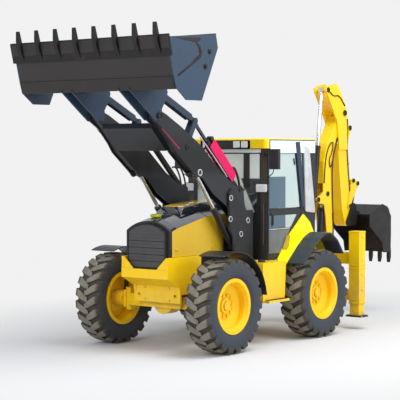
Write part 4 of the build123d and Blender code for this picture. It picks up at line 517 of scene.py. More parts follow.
def bolt(place, along, radius, height):
    """A hexagon head on its washer, its crown set in."""
    out = Vector(along).normalized()
    part = start("cylinder", vertices=6, radius=radius, depth=height,
                 location=Vector(place) + out * height / 2, rotation=facing(out))
    bpy.ops.object.mode_set(mode="EDIT")
    pick("FACE", lambda middle, normal: normal.z > 0.9)
    bpy.ops.mesh.inset(thickness=radius * 0.3)
    bpy.ops.transform.translate(value=out * radius * 0.1)
    pick("FACE", lambda middle, normal: normal.z < -0.9)
    bpy.ops.mesh.extrude_region_move()
    bpy.ops.transform.resize(value=(1.35, 1.35, 1.35))
    return settle(part)


# %% Repeats, and gathering into a piece
def repeat(part, places):
    """Copies of a finished part, each with its own mesh, at these matrices."""
    twins = []
    for place in places:
        twin = part.copy()
        twin.data = part.data.copy()
        twin.data.transform(place)
        bpy.context.collection.objects.link(twin)
        twins.append(twin)
    return twins


def gather(name, parts, finish, body, replaced=(), smooth=35):
    """Join parts into one named piece that rides on a body."""
    bpy.ops.object.select_all(action="DESELECT")
    for part in parts:
        part.select_set(True)
    piece = parts[0]
    bpy.context.view_layer.objects.active = piece
    if len(parts) > 1:
        bpy.ops.object.join()
    piece.name = piece.data.name = name
    piece.data.materials.clear()
    piece.data.materials.append(finish.material)
    bpy.ops.object.shade_smooth_by_angle(angle=math.radians(smooth))
    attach(piece, body)
    if replaced:
        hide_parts(*replaced)
    print(name, "has", len(piece.data.polygons), "faces")
    return piece


# %% Hoses, seals and cut plates
def drawn(points, kind, radius, closed=False):
    """A tube along points, made a mesh: a smooth hose or, when closed, a seal round a pane."""
    curve = bpy.data.curves.new("run", "CURVE")
    curve.dimensions, curve.bevel_depth, curve.bevel_resolution = "3D", radius, 2
    curve.resolution_u, curve.use_fill_caps = 6, not closed
    line = curve.splines.new(kind)
    line.points.add(len(points) - 1)
    for point, place in zip(line.points, points):
        point.co = (*place, 1)
    line.use_cyclic_u = closed
    if kind == "NURBS":
        line.order_u, line.use_endpoint_u = 3, True
    return made_mesh(curve)


def made_mesh(curve):
    bpy.ops.object.select_all(action="DESELECT")
    part = bpy.data.objects.new("run", curve)
    bpy.context.collection.objects.link(part)
    part.select_set(True)
    bpy.context.view_layer.objects.active = part
    bpy.ops.object.convert(target="MESH")
    return bpy.context.object


def hose(points, radius):
    return drawn(points, "NURBS", radius)


def seal(points, radius=0.009):
    return drawn(points, "POLY", radius, True)


SIDE_ON = Matrix(((1, 0, 0, 0), (0, 0, -1, 0), (0, 1, 0, 0), (0, 0, 0, 1)))
FACE_ON = Matrix(((0, 0, 1, 0), (1, 0, 0, 0), (0, 1, 0, 0), (0, 0, 0, 1)))
FLAT_ON = Matrix.Identity(4)


def cut_plate(outline, view, place, thickness, edge=0.0015):
    """A plate cut to an outline: drawn flat, filled, given its thickness, then turned to its view."""
    curve = bpy.data.curves.new("outline", "CURVE")
    curve.dimensions, curve.fill_mode = "2D", "BOTH"
    curve.extrude, curve.bevel_depth, curve.offset = thickness / 2 - edge, edge, -edge
    line = curve.splines.new("POLY")
    line.points.add(len(outline) - 1)
    for point, (across, up) in zip(line.points, outline):
        point.co = (across, up, 0, 1)
    line.use_cyclic_u = True
    part = made_mesh(curve)
    part.data.transform(Matrix.Translation(place) @ view)
    bpy.ops.object.mode_set(mode="EDIT")
    bpy.ops.mesh.select_all(action="SELECT")
    bpy.ops.mesh.remove_doubles(threshold=0.0002)
    bpy.ops.mesh.normals_make_consistent(inside=False)
    return settle(part)


def rounded(outline, radius, steps=4):
    """The outline with an arc at each corner."""
    soft = []
    for place, corner in enumerate(outline):
        corner = Vector(corner)
        before = Vector(outline[place - 1]) - corner
        after = Vector(outline[(place + 1) % len(outline)]) - corner
        cut = min(radius, before.length * 0.45, after.length * 0.45)
        first, last = corner + before.normalized() * cut, corner + after.normalized() * cut
        for step in range(steps + 1):
            share = step / steps
            rest = 1 - share
            soft.append(tuple(first * rest ** 2 + corner * 2 * share * rest + last * share ** 2))
    return soft


def rectangle(left, bottom, right, top):
    return [(left, bottom), (right, bottom), (right, top), (left, top)]


# %% [markdown]
# ## Tyres
# The CAD tyre is faceted, and its rounder twin replaces it. The carcass is a traced profile, spun
# about the axle. A lug is a cube, cut into stations along its length, and each station is then set
# to its width and height as the lug sweeps back and runs over the shoulder. One lug of each hand
# is modelled and copied round the tread.
# %% Carcass
def trace(points):
    """Draw a chain of edges: a plane is merged to one corner, and extruded from point to point."""
    part = start("plane", size=0.01, location=points[0])
    settle(part)
    bpy.ops.object.mode_set(mode="EDIT")
    bpy.ops.mesh.select_mode(type="VERT")
    bpy.ops.mesh.select_all(action="SELECT")
    bpy.ops.mesh.merge(type="CENTER")
    for here, there in zip(points, points[1:]):
        bpy.ops.mesh.extrude_vertices_move(TRANSFORM_OT_translate={"value": Vector(there) - Vector(here)})
    return part


def turned(profile, steps):
    """Spin a profile of (across, radius) about the Y axis."""
    part = trace([(0, y, radius) for y, radius in profile])
    bpy.ops.mesh.select_all(action="SELECT")
    bpy.ops.mesh.spin(steps=steps, angle=2 * math.pi, center=(0, 0, 0), axis=(0, 1, 0))
    bpy.ops.mesh.select_all(action="SELECT")
    bpy.ops.mesh.remove_doubles(threshold=0.0002)
    bpy.ops.mesh.normals_make_consistent(inside=False)
    return settle(part)


HALF_PROFILE = (
    # across, radius
    (0.163, 0.357), (0.163, 0.385), (0.170, 0.404), (0.184, 0.416), (0.190, 0.436), (0.197, 0.440),
    (0.203, 0.462), (0.2085, 0.500), (0.210, 0.535), (0.2075, 0.566), (0.200, 0.590), (0.182, 0.608),
    (0.140, 0.624), (0.080, 0.632),
)
other_half = [(-y, radius) for y, radius in reversed(HALF_PROFILE)]
profile = [*HALF_PROFILE, (0, 0.634), *other_half, HALF_PROFILE[0]]
carcass = turned(profile, 88)
print("carcass has", len(carcass.data.polygons), "faces")

# %% Lugs
PITCHES = 22
FIRST_LUG = 1.973
STATIONS = (
    # across, radius of the foot, of the top, half width of the foot, of the top, lag in degrees
    (-0.028, 0.628, 0.667, 0.036, 0.026, -1.2),
    (0.030, 0.626, 0.667, 0.058, 0.046, 1.2),
    (0.090, 0.620, 0.666, 0.064, 0.052, 4.0),
    (0.150, 0.607, 0.661, 0.066, 0.054, 6.8),
    (0.190, 0.590, 0.652, 0.066, 0.053, 8.2),
    (0.208, 0.570, 0.643, 0.064, 0.050, 8.6),
)


def lug(hand):
    part = start("cube", size=1)
    bpy.ops.object.mode_set(mode="EDIT")
    pick("EDGE", lambda middle, way: abs(way.y) > 0.9)
    bpy.ops.mesh.subdivide(number_cuts=len(STATIONS) - 2)
    settle(part)
    last = len(STATIONS) - 1
    for corner in part.data.vertices:
        station = round((corner.co.y * hand + 0.5) * last)
        across, foot, top, foot_half, top_half, lag = STATIONS[station]
        upper = corner.co.z > 0
        radius = top if upper else foot
        turn = math.copysign((top_half if upper else foot_half) / radius, corner.co.x) - math.radians(lag)
        corner.co = (radius * math.sin(turn), hand * across, radius * math.cos(turn))
    return ease(part, 0.004, 1)


rounds = [carcass]
for hand in SIDES:
    one = lug(hand)
    shift = 0 if hand > 0 else 0.5
    turns = [math.radians((place + shift) * 360 / PITCHES - FIRST_LUG) for place in range(PITCHES)]
    rounds += repeat(one, [Matrix.Rotation(turn, 4, "Y") for turn in turns])
    bpy.data.objects.remove(one)
bpy.ops.object.select_all(action="DESELECT")
for part in rounds:
    part.select_set(True)
bpy.context.view_layer.objects.active = carcass
bpy.ops.object.join()
for wheel, (x, side) in WHEELS.items():
    dressed = repeat(carcass, [Matrix.Translation((x, side * WHEEL_Y, AXLE_Z))])
    gather("lugged_tyre_" + wheel, dressed, rubber, "wheel_" + wheel, ["tyre_" + wheel])
bpy.data.objects.remove(carcass)

# %% [markdown]
# ## Wheel nuts and hubs
# Ten nuts hold each rim to its hub, round a centre ring. They are small, but their highlights
# tell the eye how large the machine is.
# %% Nuts, centre ring and valve
DISC_FACE = WHEEL_Y - 0.010 + 0.016
NUTS = 10
for wheel, (x, side) in WHEELS.items():
    nut = bolt((x, side * DISC_FACE, AXLE_Z + 0.150), (0, side, 0), 0.017, 0.024)
    centre = Matrix.Translation((x, 0, AXLE_Z))
    turns = [centre @ Matrix.Rotation(math.tau * (place + 0.5) / NUTS, 4, "Y") @ centre.inverted()
             for place in range(NUTS)]
    parts = repeat(nut, turns)
    bpy.data.objects.remove(nut)
    parts.append(ring((x, side * (DISC_FACE + 0.016), AXLE_Z), (0, 1, 0), 0.108, 0.064, 0.032, 0.006))
    parts.append(ring((x, side * (DISC_FACE + 0.004), AXLE_Z), (0, 1, 0), 0.190, 0.178, 0.010, 0.002))
    parts.append(rod((x + 0.20, side * (DISC_FACE + 0.006), AXLE_Z + 0.14),
                     (x + 0.20, side * (DISC_FACE + 0.05), AXLE_Z + 0.14), 0.008, 12, 0.002))
    gather("wheel_nuts_" + wheel, parts, wheel_yellow, "wheel_" + wheel)

# %% [markdown]
# ## Loader bucket
# The shell carries a bolted cutting edge in segments between the teeth, and a wear plate round
# the heel. Each end plate carries a thin black plate, painted shade, along the curved gap of the opening jaw,
# and two bolt heads.
# %% Edge segments and wear plate
FLOOR = Vector((0.2478, 0, 0.9688))
OUT = Vector((0.9688, 0, -0.2478))
LIP = Vector((BUCKET_PIN[0] + 0.768, 0, BUCKET_PIN[1] + 0.988))
TOOTH_PITCH = 0.348


def on_floor(run, rise, y):
    return LIP + FLOOR * run + OUT * rise + Vector((0, y, 0))


ON_FLOOR = Matrix((
    (0, FLOOR.x, OUT.x, 0),
    (1, 0, 0, 0),
    (0, FLOOR.z, OUT.z, 0),
    (0, 0, 0, 1),
))
outline = rounded(rectangle(-0.128, -0.150, 0.128, 0.012), 0.02)
segment = cut_plate(outline, ON_FLOOR, on_floor(0, 0.024, 0), 0.008, 0.002)
gaps = [Matrix.Translation((0, (place - 3) * TOOTH_PITCH, 0)) for place in range(7)]
parts = repeat(segment, gaps)
bpy.data.objects.remove(segment)
for side in SIDES:
    end_segment = rectangle(-0.072, -0.150, 0.072, 0.012)
    parts.append(cut_plate(end_segment, ON_FLOOR, on_floor(0, 0.024, side * 1.335), 0.008, 0.002))
heel = [(BUCKET_PIN[0] + 0.56, BUCKET_PIN[1] + 0.318), (BUCKET_PIN[0] + 0.603, BUCKET_PIN[1] + 0.318),
        (BUCKET_PIN[0] + 0.653, BUCKET_PIN[1] + 0.476), (BUCKET_PIN[0] + 0.640, BUCKET_PIN[1] + 0.480),
        (BUCKET_PIN[0] + 0.590, BUCKET_PIN[1] + 0.333), (BUCKET_PIN[0] + 0.56, BUCKET_PIN[1] + 0.333)]
parts.append(cut_plate(heel, SIDE_ON, (0, 0, 0), 2.72, 0.002))
gather("bucket_edge", parts, worn_steel, "loader_bucket")

# %% Painted shade of the jaw gap, and end bolts
JAW_GAP = (
    # x, z, and how far ahead and above the other edge lies
    (3.075, 4.235, 0.062, 0.012),
    (3.030, 4.190, 0.062, 0.012),
    (3.000, 4.130, 0.062, 0.012),
    (3.020, 4.060, 0.030, 0.036),
    (3.125, 3.995, 0.030, 0.036),
    (3.242, 3.930, 0.014, 0.026),
    (3.503, 3.785, 0.014, 0.026),
)
near_edge = [(x, z) for x, z, on, up in JAW_GAP]
far_edge = [(x + on, z + up) for x, z, on, up in JAW_GAP]
parts = []
for side in SIDES:
    face = side * 1.3805
    for x, z in ((2.834, 4.145), (2.926, 3.943)):
        parts.append(rod((x, face - side * 0.004, z), (x, face + side * 0.012, z), 0.034, 20, 0.004))
        parts.append(bolt((x, face + side * 0.012, z), (0, side, 0), 0.018, 0.008))
    # A thin black plate along the jaw's curve: painted shade where the gap between jaw and shell lies.
    parts.append(cut_plate(near_edge + far_edge[::-1], SIDE_ON, (0, face, 0), 0.004, 0.0005))
gather("bucket_jaw_gap_painted_shade", parts, black_steel, "loader_bucket")
top_of_jaw = [(3.62, 4.283), (3.005, 4.318), (3.055, 4.268), (3.12, 4.245), (3.30, 4.262)]
parts = [cut_plate(top_of_jaw, SIDE_ON, (0, side * 1.3812, 0), 0.003, 0.0005) for side in SIDES]
gather("bucket_jaw_top", parts, worn_steel, "loader_bucket")

# %% [markdown]
# ## Loader arms
# Bright rings on the pins, a thin crimson stripe, the crimson channel and the handle of the
# service strut, and the pipes and hoses of the tilt cylinders. A hose here is held by clips along
# its whole length and moves with the arm, so it is modelled as fixed trim and hugs its carrier.
# %% Pin rings on the arms and towers
ARM_FACE, TOWER_FACE = 0.590, 0.624


def pin_rings(places, face, outer=0.046, inner=0.031):
    return [ring((x, side * (face + 0.006), z), (0, 1, 0), outer, inner, 0.014, 0.003)
            for side in SIDES for x, z in places]


def pin_ends(places, face, radius=0.030):
    return [rod((x, side * (face - 0.004), z), (x, side * (face + 0.006), z), radius, 20, 0.004)
            for side in SIDES for x, z in places]


arm_pins = [(ARM_PIVOT_X + 1.130, 2.526)]
gather("arm_pin_rings", pin_rings(arm_pins, ARM_FACE, 0.050, 0.034), pin_steel, "loader_arms")
small = [(ARM_PIVOT_X + 1.410, 2.880), (ARM_PIVOT_X + 0.140, 2.270)]
parts = pin_rings(small, ARM_FACE, 0.040, 0.024) + pin_ends(small, ARM_FACE, 0.023)
parts += pin_ends(arm_pins, ARM_FACE, 0.033)
gather("arm_pin_caps", parts, charcoal, "loader_arms")
tower_pins = [(ARM_PIVOT_X, 1.810), (1.304, 2.150), (1.316, 1.845), (1.054, 1.616)]
parts = pin_rings(tower_pins, TOWER_FACE - 0.006, 0.043, 0.030)
gather("tower_pin_rings", parts, pin_steel, "chassis")
gather("tower_pin_ends", pin_ends(tower_pins, TOWER_FACE, 0.029), charcoal, "chassis")
parts = pin_rings([BUCKET_PIN], 0.638, 0.050, 0.028) + pin_ends([BUCKET_PIN], 0.638, 0.027)
gather("bucket_pin_caps", parts, charcoal, "loader_bucket")

# %% Tower doubler plates
gusset = rounded([(1.205, 1.62), (1.245, 1.56), (1.325, 1.70), (1.345, 2.20), (1.285, 2.245), (1.235, 2.16),
                  (1.245, 1.90)], 0.04)
parts = [cut_plate(gusset, SIDE_ON, (0, side * 0.619, 0), 0.008, 0.002) for side in SIDES]
lower = rounded([(0.76, 0.98), (1.19, 0.98), (1.22, 1.45), (1.09, 1.56), (0.78, 1.48)], 0.05)
parts += [cut_plate(lower, SIDE_ON, (0, side * 0.619, 0), 0.008, 0.002) for side in SIDES]
gather("tower_doublers", parts, tower_paint, "chassis")

# %% Crimson stripe on each arm
parts = []
for side in SIDES:
    stripe = [(2.862, 3.146), (2.852, 3.132), (2.467, 2.851), (2.470, 2.868)]
    parts.append(cut_plate(stripe, SIDE_ON, (0, side * (ARM_FACE + 0.0005), 0), 0.002, 0.0003))
gather("arm_stripes", parts, crimson, "loader_arms")

# %% Service strut of the left arm, and pipes, links and hoses of both
TILT_BASE = Vector((ARM_PIVOT_X + 0.140, 2.270))
TILT_WAY, TILT_UP = Vector((0.727, 0.687)), Vector((-0.687, 0.727))


def on_strut(run, rise):
    return tuple(TILT_BASE + TILT_WAY * run + TILT_UP * rise)


STRUT_Y = 0.515
cheek = [on_strut(*spot) for spot in ((0.203, -0.045), (0.943, -0.045), (0.943, 0.098), (0.925, 0.115),
                                      (0.240, 0.115), (0.203, 0.080))]
roof = [on_strut(*spot) for spot in ((0.235, 0.107), (0.930, 0.107), (0.930, 0.115), (0.235, 0.115))]
parts = [cut_plate(rounded(cheek, 0.02), SIDE_ON, (0, STRUT_Y + side * 0.0505, 0), 0.008, 0.002)
         for side in SIDES]
parts.append(cut_plate(roof, SIDE_ON, (0, STRUT_Y, 0), 0.094, 0.002))
gather("strut_channel", parts, crimson, "loader_arms", ["service_strut"])
knob = on_strut(0.985, 0.085)
grip = on_strut(0.925, 0.095)
parts = [rod((knob[0], 0.480, knob[1]), (knob[0], 0.572, knob[1]), 0.033, 20, 0.006),
         rod((knob[0], STRUT_Y, knob[1]), (grip[0], STRUT_Y, grip[1]), 0.014, 12, 0.002)]
gather("strut_handle", parts, black_plastic, "loader_arms")
parts = []
for side in SIDES:
    parts.append(hose([(1.985, side * 0.578, 3.020), (1.93, side * 0.581, 2.985), (1.42, side * 0.581, 2.535),
                       (1.34, side * 0.578, 2.455)], 0.0095))
gather("tilt_pipes", parts, pin_steel, "loader_arms")
tilt_pin, link_pin = Vector((ARM_PIVOT_X + 1.181, 3.254)), Vector((ARM_PIVOT_X + 1.940, 3.600))
across = (link_pin - tilt_pin).orthogonal().normalized() * 0.046
bar = [tuple(tilt_pin.lerp(link_pin, share) + across * hand) for share, hand in
       ((0.12, 1), (0.90, 1), (0.90, -1), (0.12, -1))]
parts = [cut_plate(rounded(bar, 0.03), SIDE_ON, (0, side * (STRUT_Y + shift * 0.041), 0), 0.010, 0.002)
         for side in SIDES for shift in SIDES]
gather("link_cheeks", parts, slate, "tilt_links")
parts = []
for side in SIDES:
    for shift in (0, 0.045):
        y = side * (0.50 + shift)
        parts.append(hose([(1.15 + shift, y, 2.585), (1.10 + shift, y, 2.60), (1.035 + shift, y, 2.56),
                           (0.955 + shift, y, 2.42), (0.915 + shift, y, 2.24), (0.905, y, 2.05),
                           (0.89, y, 1.90)], 0.013))
gather("tilt_hoses", parts, hose_rubber, "loader_arms")

# %% [markdown]
# ## Bonnet and nose
# A ridged mesh in a black frame fills the grille. Latches hold the side panels, seams cross the
# cover, and a raised crest runs along its top, with a small lime block in front of it.
# %% Latches, seams, crest, grille mesh and lime nose block
parts = []
for side in SIDES:
    for x in (FRONT_AXLE_X + 0.30, FRONT_AXLE_X - 0.55):
        parts.append(block((x - 0.03, side * 0.394, 1.42), (x + 0.03, side * 0.405, 1.46), 0.003))
        parts.append(rod((x, side * 0.400, 1.44), (x, side * 0.409, 1.44), 0.011, 16, 0.002))
gather("bonnet_latches", parts, hood_yellow_painted_shade, "hood")
seam = []
for x, edge, crown in ((FRONT_AXLE_X + 0.30, 1.735, 1.88), (FRONT_AXLE_X - 0.40, 1.888, 1.985)):
    seam.append([(x, y, edge + (crown - edge) * (1 - (y / 0.395) ** 2) + 0.001)
                 for y in (-0.392, -0.30, -0.2, -0.1, 0, 0.1, 0.2, 0.30, 0.392)])
gather("bonnet_seams", [hose(points, 0.004) for points in seam], black_plastic, "hood")
crest = start("cube", size=1, location=(FRONT_AXLE_X - 0.55, 0, 2.01))
crest.scale = (1.16, 0.52, 0.14)
settle(crest)
bpy.ops.object.mode_set(mode="EDIT")
pick("EDGE", lambda middle, way: abs(way.x) > 0.9)
bpy.ops.mesh.subdivide(number_cuts=5)
settle(crest)
for corner in crest.data.vertices:
    ahead = corner.co.x - FRONT_AXLE_X
    crown = 2.022 - 0.125 * ahead - 0.045 * ahead * ahead if ahead < 0.1 else 2.005
    if corner.co.z > 2.01:
        corner.co.z = crown
        corner.co.y *= 0.74
        corner.co.x -= 0.12 if ahead > 0 else 0
    else:
        corner.co.z = crown - 0.13
ease(crest, 0.02, 3)
gather("bonnet_crest", [crest], crest_paint, "hood")
mesh_line = [(-0.335, 1.690), (-0.335, 1.262), (-0.235, 1.182), (0.235, 1.182), (0.335, 1.262),
             (0.335, 1.690), (0.225, 1.757), (0.115, 1.792), (0, 1.803), (-0.115, 1.792), (-0.225, 1.757)]
parts = [cut_plate(mesh_line, FACE_ON, (FRONT_AXLE_X + 0.467, 0, 0), 0.038, 0.003)]
parts += [rod((FRONT_AXLE_X + 0.484, -0.320, z), (FRONT_AXLE_X + 0.484, 0.320, z), 0.005, 8, 0.001)
          for z in (1.322, 1.418, 1.512, 1.606, 1.650)]
gather("grille_mesh", parts, grille_paint, "hood")
parts = [seal([(FRONT_AXLE_X + 0.486, y, z) for y, z in mesh_line], 0.010)]
parts += [rod((FRONT_AXLE_X + 0.483, -0.325, z), (FRONT_AXLE_X + 0.483, 0.325, z), 0.006, 8, 0.001)
          for z in (1.275, 1.370, 1.465, 1.560)]
gather("grille_frame", parts, black_steel, "hood")
parts = [block((FRONT_AXLE_X + 0.20, -0.085, 1.885), (FRONT_AXLE_X + 0.31, 0.055, 1.935), 0.02)]
gather("lime_nose_block", parts, lime_nose_plastic, "hood")

# %% [markdown]
# ## Cab
# Rubber seals frame the panes. The lamps have pale lenses, the mirrors glass that looks back, the
# windscreen a wiper, and the doors handles. The rear side posts have pale covers.
# %% Seals round the panes
def side_seal(side, outline, y):
    return seal([(x, side * y, z) for x, z in outline], 0.010)


UPPER_PANE = ((CAB_FRONT_X - 0.120, 2.739), (CAB_FRONT_X - 0.615, 2.739), (CAB_FRONT_X - 0.820, 1.960),
              (CAB_FRONT_X - 0.120, 1.960))
LOWER_PANE = ((CAB_FRONT_X - 0.120, 1.850), (CAB_FRONT_X - 0.760, 1.850), (CAB_FRONT_X - 0.575, 1.670),
              (CAB_FRONT_X - 0.120, 1.670))
for name, side in (("door_left", 1), ("door_right", -1)):
    parts = [side_seal(side, pane, CAB_Y - 0.004) for pane in (UPPER_PANE, LOWER_PANE)]
    parts.append(block((CAB_FRONT_X - 0.108, side * (CAB_Y - 0.002), 1.70),
                       (CAB_FRONT_X - 0.076, side * (CAB_Y + 0.014), 1.90), 0.006))
    grip_x, grip_y = CAB_FRONT_X - 0.092, side * (CAB_Y + 0.03)
    parts.append(rod((grip_x, grip_y, 1.73), (grip_x, grip_y, 1.87), 0.010, 16))
    for z in (1.735, 1.865):
        parts.append(rod((grip_x, side * (CAB_Y + 0.005), z), (grip_x, grip_y, z), 0.008, 12))
    for share in (0.12, 0.86):
        x, z = CAB_FRONT_X - 0.893 + 0.243 * share, 1.890 + 0.910 * share
        way = Vector((0.243, 0, 0.910)).normalized() * 0.05
        middle = Vector((x, side * (CAB_Y + 0.010), z))
        parts.append(rod(middle - way, middle + way, 0.014, 16))
    gather(name + "_trim", parts, black_plastic, name)
screen = [(CAB_FRONT_X - 0.020, y, z) for y, z in rectangle(-0.598, 1.905, 0.598, 2.795)]
back = [(CAB_REAR_X + 0.022, y, z) for y, z in rectangle(-0.688, 1.785, 0.688, 2.795)]
rear_pane = ((CAB_FRONT_X - 0.765, 2.797), (CAB_REAR_X + 0.303, 2.797), (CAB_REAR_X + 0.303, 1.91))
parts = [seal(screen), seal(back)] + [side_seal(side, rear_pane, 0.722) for side in SIDES]
gather("pane_seals", parts, black_plastic, "chassis")

# %% Outer panes, belt and lower panel of each door
def panel(outline, side, inner, outer, edge=0.0015):
    return cut_plate(outline, SIDE_ON, (0, side * (inner + outer) / 2, 0), outer - inner, edge)


FRONT_EDGE = CAB_FRONT_X - 0.022
for name, side in (("door_left", 1), ("door_right", -1)):
    upper = [(FRONT_EDGE, 2.797), (-0.165, 2.797), (-0.305, 1.975), (FRONT_EDGE, 1.975)]
    lower = [(FRONT_EDGE, 1.865), (-0.225, 1.865), (-0.060, 1.675), (FRONT_EDGE, 1.675)]
    parts = [panel(rounded(outline, 0.015), side, 0.7515, 0.7565) for outline in (upper, lower)]
    gather(name + "_panes", parts, door_pane, name)
    board = [(FRONT_EDGE, 1.645), (-0.040, 1.645), (0.180, 1.300), (FRONT_EDGE, 1.300)]
    gather(name + "_panel", [panel(board, side, 0.7515, 0.7555)], grey_plastic, name)
    rail = [(FRONT_EDGE, 1.668), (-0.040, 1.668), (-0.030, 1.654), (FRONT_EDGE, 1.654)]
    gather(name + "_rail", [panel(rail, side, 0.7515, 0.7585)], pale_plastic, name)

# %% Header glass and slanted side bars
# The header plates and the screen sheet take the front pane finish: pale, a painted reflection of the sky,
# with a darker painted patch low on the screen's left.
parts = []
for side in SIDES:
    parts.append(panel([(CAB_FRONT_X - 0.03, 2.988), (CAB_REAR_X + 0.05, 2.988), (CAB_REAR_X + 0.05, 2.802),
                        (CAB_FRONT_X - 0.03, 2.802)], side, 0.7665, 0.7715))
parts.append(block((CAB_FRONT_X + 0.002, -0.62, 2.806), (CAB_FRONT_X + 0.008, 0.62, 2.858), 0.002))
parts.append(block((CAB_FRONT_X - 0.010, -0.590, 1.912), (CAB_FRONT_X - 0.002, 0.590, 2.788), 0.002))
gather("header_and_screen", parts, front_pane, "chassis")
slanted_bar = [(-0.165, 2.972), (-0.288, 2.972), (-0.432, 1.972), (-0.350, 1.972)]
parts = [panel(slanted_bar, side, 0.750, 0.775, 0.004) for side in SIDES]
gather("side_bars", parts, slate, "chassis")

# %% Lamp lenses
parts = []
for side in SIDES:
    for y in (0.215, 0.360):
        outline = rounded(rectangle(side * y - 0.058, 2.882, side * y + 0.058, 2.978), 0.014)
        parts.append(cut_plate(outline, FACE_ON, (CAB_FRONT_X + 0.064, 0, 0), 0.012, 0.004))
    outline = rounded(rectangle(side * 0.585, 2.222, side * 0.778, 2.338), 0.02)
    parts.append(cut_plate(outline, FACE_ON, (CAB_FRONT_X + 0.078, 0, 0), 0.014, 0.005))
gather("lamp_lenses", parts, lens, "chassis")
parts = [block((CAB_FRONT_X + 0.030, -0.470, 2.864), (CAB_FRONT_X + 0.060, 0.470, 2.996), 0.004)]
gather("lamp_board", parts, black_plastic, "chassis")

# %% Mirror glass, wiper, grab rails and interior
parts = []
for side in SIDES:
    outline = rounded(rectangle(side * 0.822, 2.575, side * 0.958, 2.845), 0.02)
    parts.append(cut_plate(outline, FACE_ON, (CAB_FRONT_X - 0.002, 0, 0), 0.005, 0.001))
gather("mirror_glass", parts, chrome, "chassis")
parts = [rod((CAB_FRONT_X + 0.004, 0.0, 1.885), (CAB_FRONT_X + 0.03, 0.0, 1.885), 0.022, 20),
         rod((CAB_FRONT_X + 0.024, 0.0, 1.885), (CAB_FRONT_X + 0.006, 0.36, 2.30), 0.008, 12),
         block((CAB_FRONT_X - 0.001, 0.305, 2.28), (CAB_FRONT_X + 0.008, 0.415, 2.805), 0.003)]
GRAB_RAIL = ((0.002, 1.42), (0.05, 1.42), (0.05, 1.50), (0.05, 1.98), (0.05, 2.06), (0.002, 2.06))
MIRROR_ARM = ((0.03, 0.875, 2.60), (0.03, 0.875, 2.52), (0.02, 0.80, 2.46), (0.01, 0.745, 2.44))
for side in SIDES:
    parts.append(hose([(CAB_FRONT_X + on, side * 0.70, z) for on, z in GRAB_RAIL], 0.012))
    parts.append(hose([(CAB_FRONT_X + on, side * y, z) for on, y, z in MIRROR_ARM], 0.007))
gather("wiper_and_rails", parts, black_plastic, "chassis")
parts = []
for side in SIDES:
    post = rounded([(-0.730, 1.87), (-0.455, 1.90), (-0.405, 2.93), (-0.560, 2.87)], 0.04)
    parts.append(cut_plate(post, SIDE_ON, (0, side * 0.762, 0), 0.024, 0.004))
gather("rear_post_panels", parts, pale_plastic, "chassis")
parts = [block((CAB_REAR_X + 0.10, -0.62, 2.84), (CAB_FRONT_X - 0.08, 0.62, 2.866), 0.008)]
gather("headliner", parts, pale_plastic, "chassis")

# %% [markdown]
# ## Chassis trim
# Reflectors on the fenders, tread strips on the steps, filler caps on the tanks, bushes in the two
# round holes of the front plate, and corners that close in the nose below the grille.
# %% Reflectors, steps and tow bushes
parts = []
for side in SIDES:
    patch = rounded([(0.076, 1.558), (-0.030, 1.552), (0.025, 1.330), (0.190, 1.345)], 0.02)
    parts.append(cut_plate(patch, SIDE_ON, (0, side * 0.7705, 0), 0.006, 0.0015))
gather("fender_reflectors", parts, amber_lens, "chassis")
TANK_FRONT_X, TANK_REAR_X = FRONT_AXLE_X - 0.960, FRONT_AXLE_X - 1.560
parts = []
for side in SIDES:
    for place in range(9):
        x = TANK_REAR_X + 0.07 + place * 0.056
        parts.append(block((x, side * 1.005, 0.654), (x + 0.03, side * 1.080, 0.662), 0.002))
    cap = (TANK_FRONT_X - 0.18, side * 0.85)
    parts.append(rod((*cap, 1.199), (*cap, 1.235), 0.055, 28, 0.008))
gather("step_treads", parts, black_plastic, "chassis")
parts = []
for side in SIDES:
    parts.append(ring((FRONT_AXLE_X + 0.253, side * 0.327, 0.778), (1, 0, 0), 0.036, 0.022, 0.008, 0.002))
    for z in (0.71, 0.88):
        parts.append(bolt((FRONT_AXLE_X + 0.25, side * 0.22, z), (1, 0, 0), 0.014, 0.009))
gather("front_plate_bolts", parts, yellow, "chassis")
parts = []
for side in SIDES:
    corner = [(side * 0.378, 1.330), (side * 0.378, 1.166), (side * 0.215, 1.166), (side * 0.225, 1.180)]
    parts.append(cut_plate(corner, FACE_ON, (FRONT_AXLE_X + 0.517, 0, 0), 0.020, 0.002))
gather("nose_corners", parts, yellow, "chassis")

# %% [markdown]
# ## Rear frame, stabilizers and hoe
# Bands and bolts on the stabilizer legs, pins through the boom and dipper, and the black hoses
# that run up the boom.
# %% Leg bands and their bolts
LEG_X, LEG_Y = FRONT_AXLE_X - 3.513, 1.055
parts = []
for side in SIDES:
    for z in (0.415, 0.47, 0.965, 1.02, 1.545):
        band = rectangle(LEG_X - 0.099, side * LEG_Y - 0.099, LEG_X + 0.099, side * LEG_Y + 0.099)
        parts.append(seal([(x, y, z) for x, y in band], 0.006))
    parts.append(block((LEG_X - 0.02, side * 1.149, 1.18), (LEG_X + 0.02, side * 1.156, 1.34), 0.003))
    for z in (0.62, 0.86, 1.10, 1.46):
        parts.append(bolt((LEG_X, side * 1.150, z), (0, side, 0), 0.016, 0.010))
gather("leg_bands", parts, yellow, "chassis")
for name, side in (("stabilizer_left", 1), ("stabilizer_right", -1)):
    sole = rectangle(LEG_X - 0.108, side * LEG_Y - 0.153, LEG_X + 0.108, side * LEG_Y + 0.153)
    pad = cut_plate(rounded(sole, 0.03), FLAT_ON, (0, 0, 0.2075), 0.029, 0.006)
    gather(name + "_pad", [pad], black_plastic, name)

# %% Hoe pins
def hoe_pins(places, face, outer):
    return pin_rings(places, face, outer, outer * 0.6) + pin_ends(places, face, outer * 0.58)


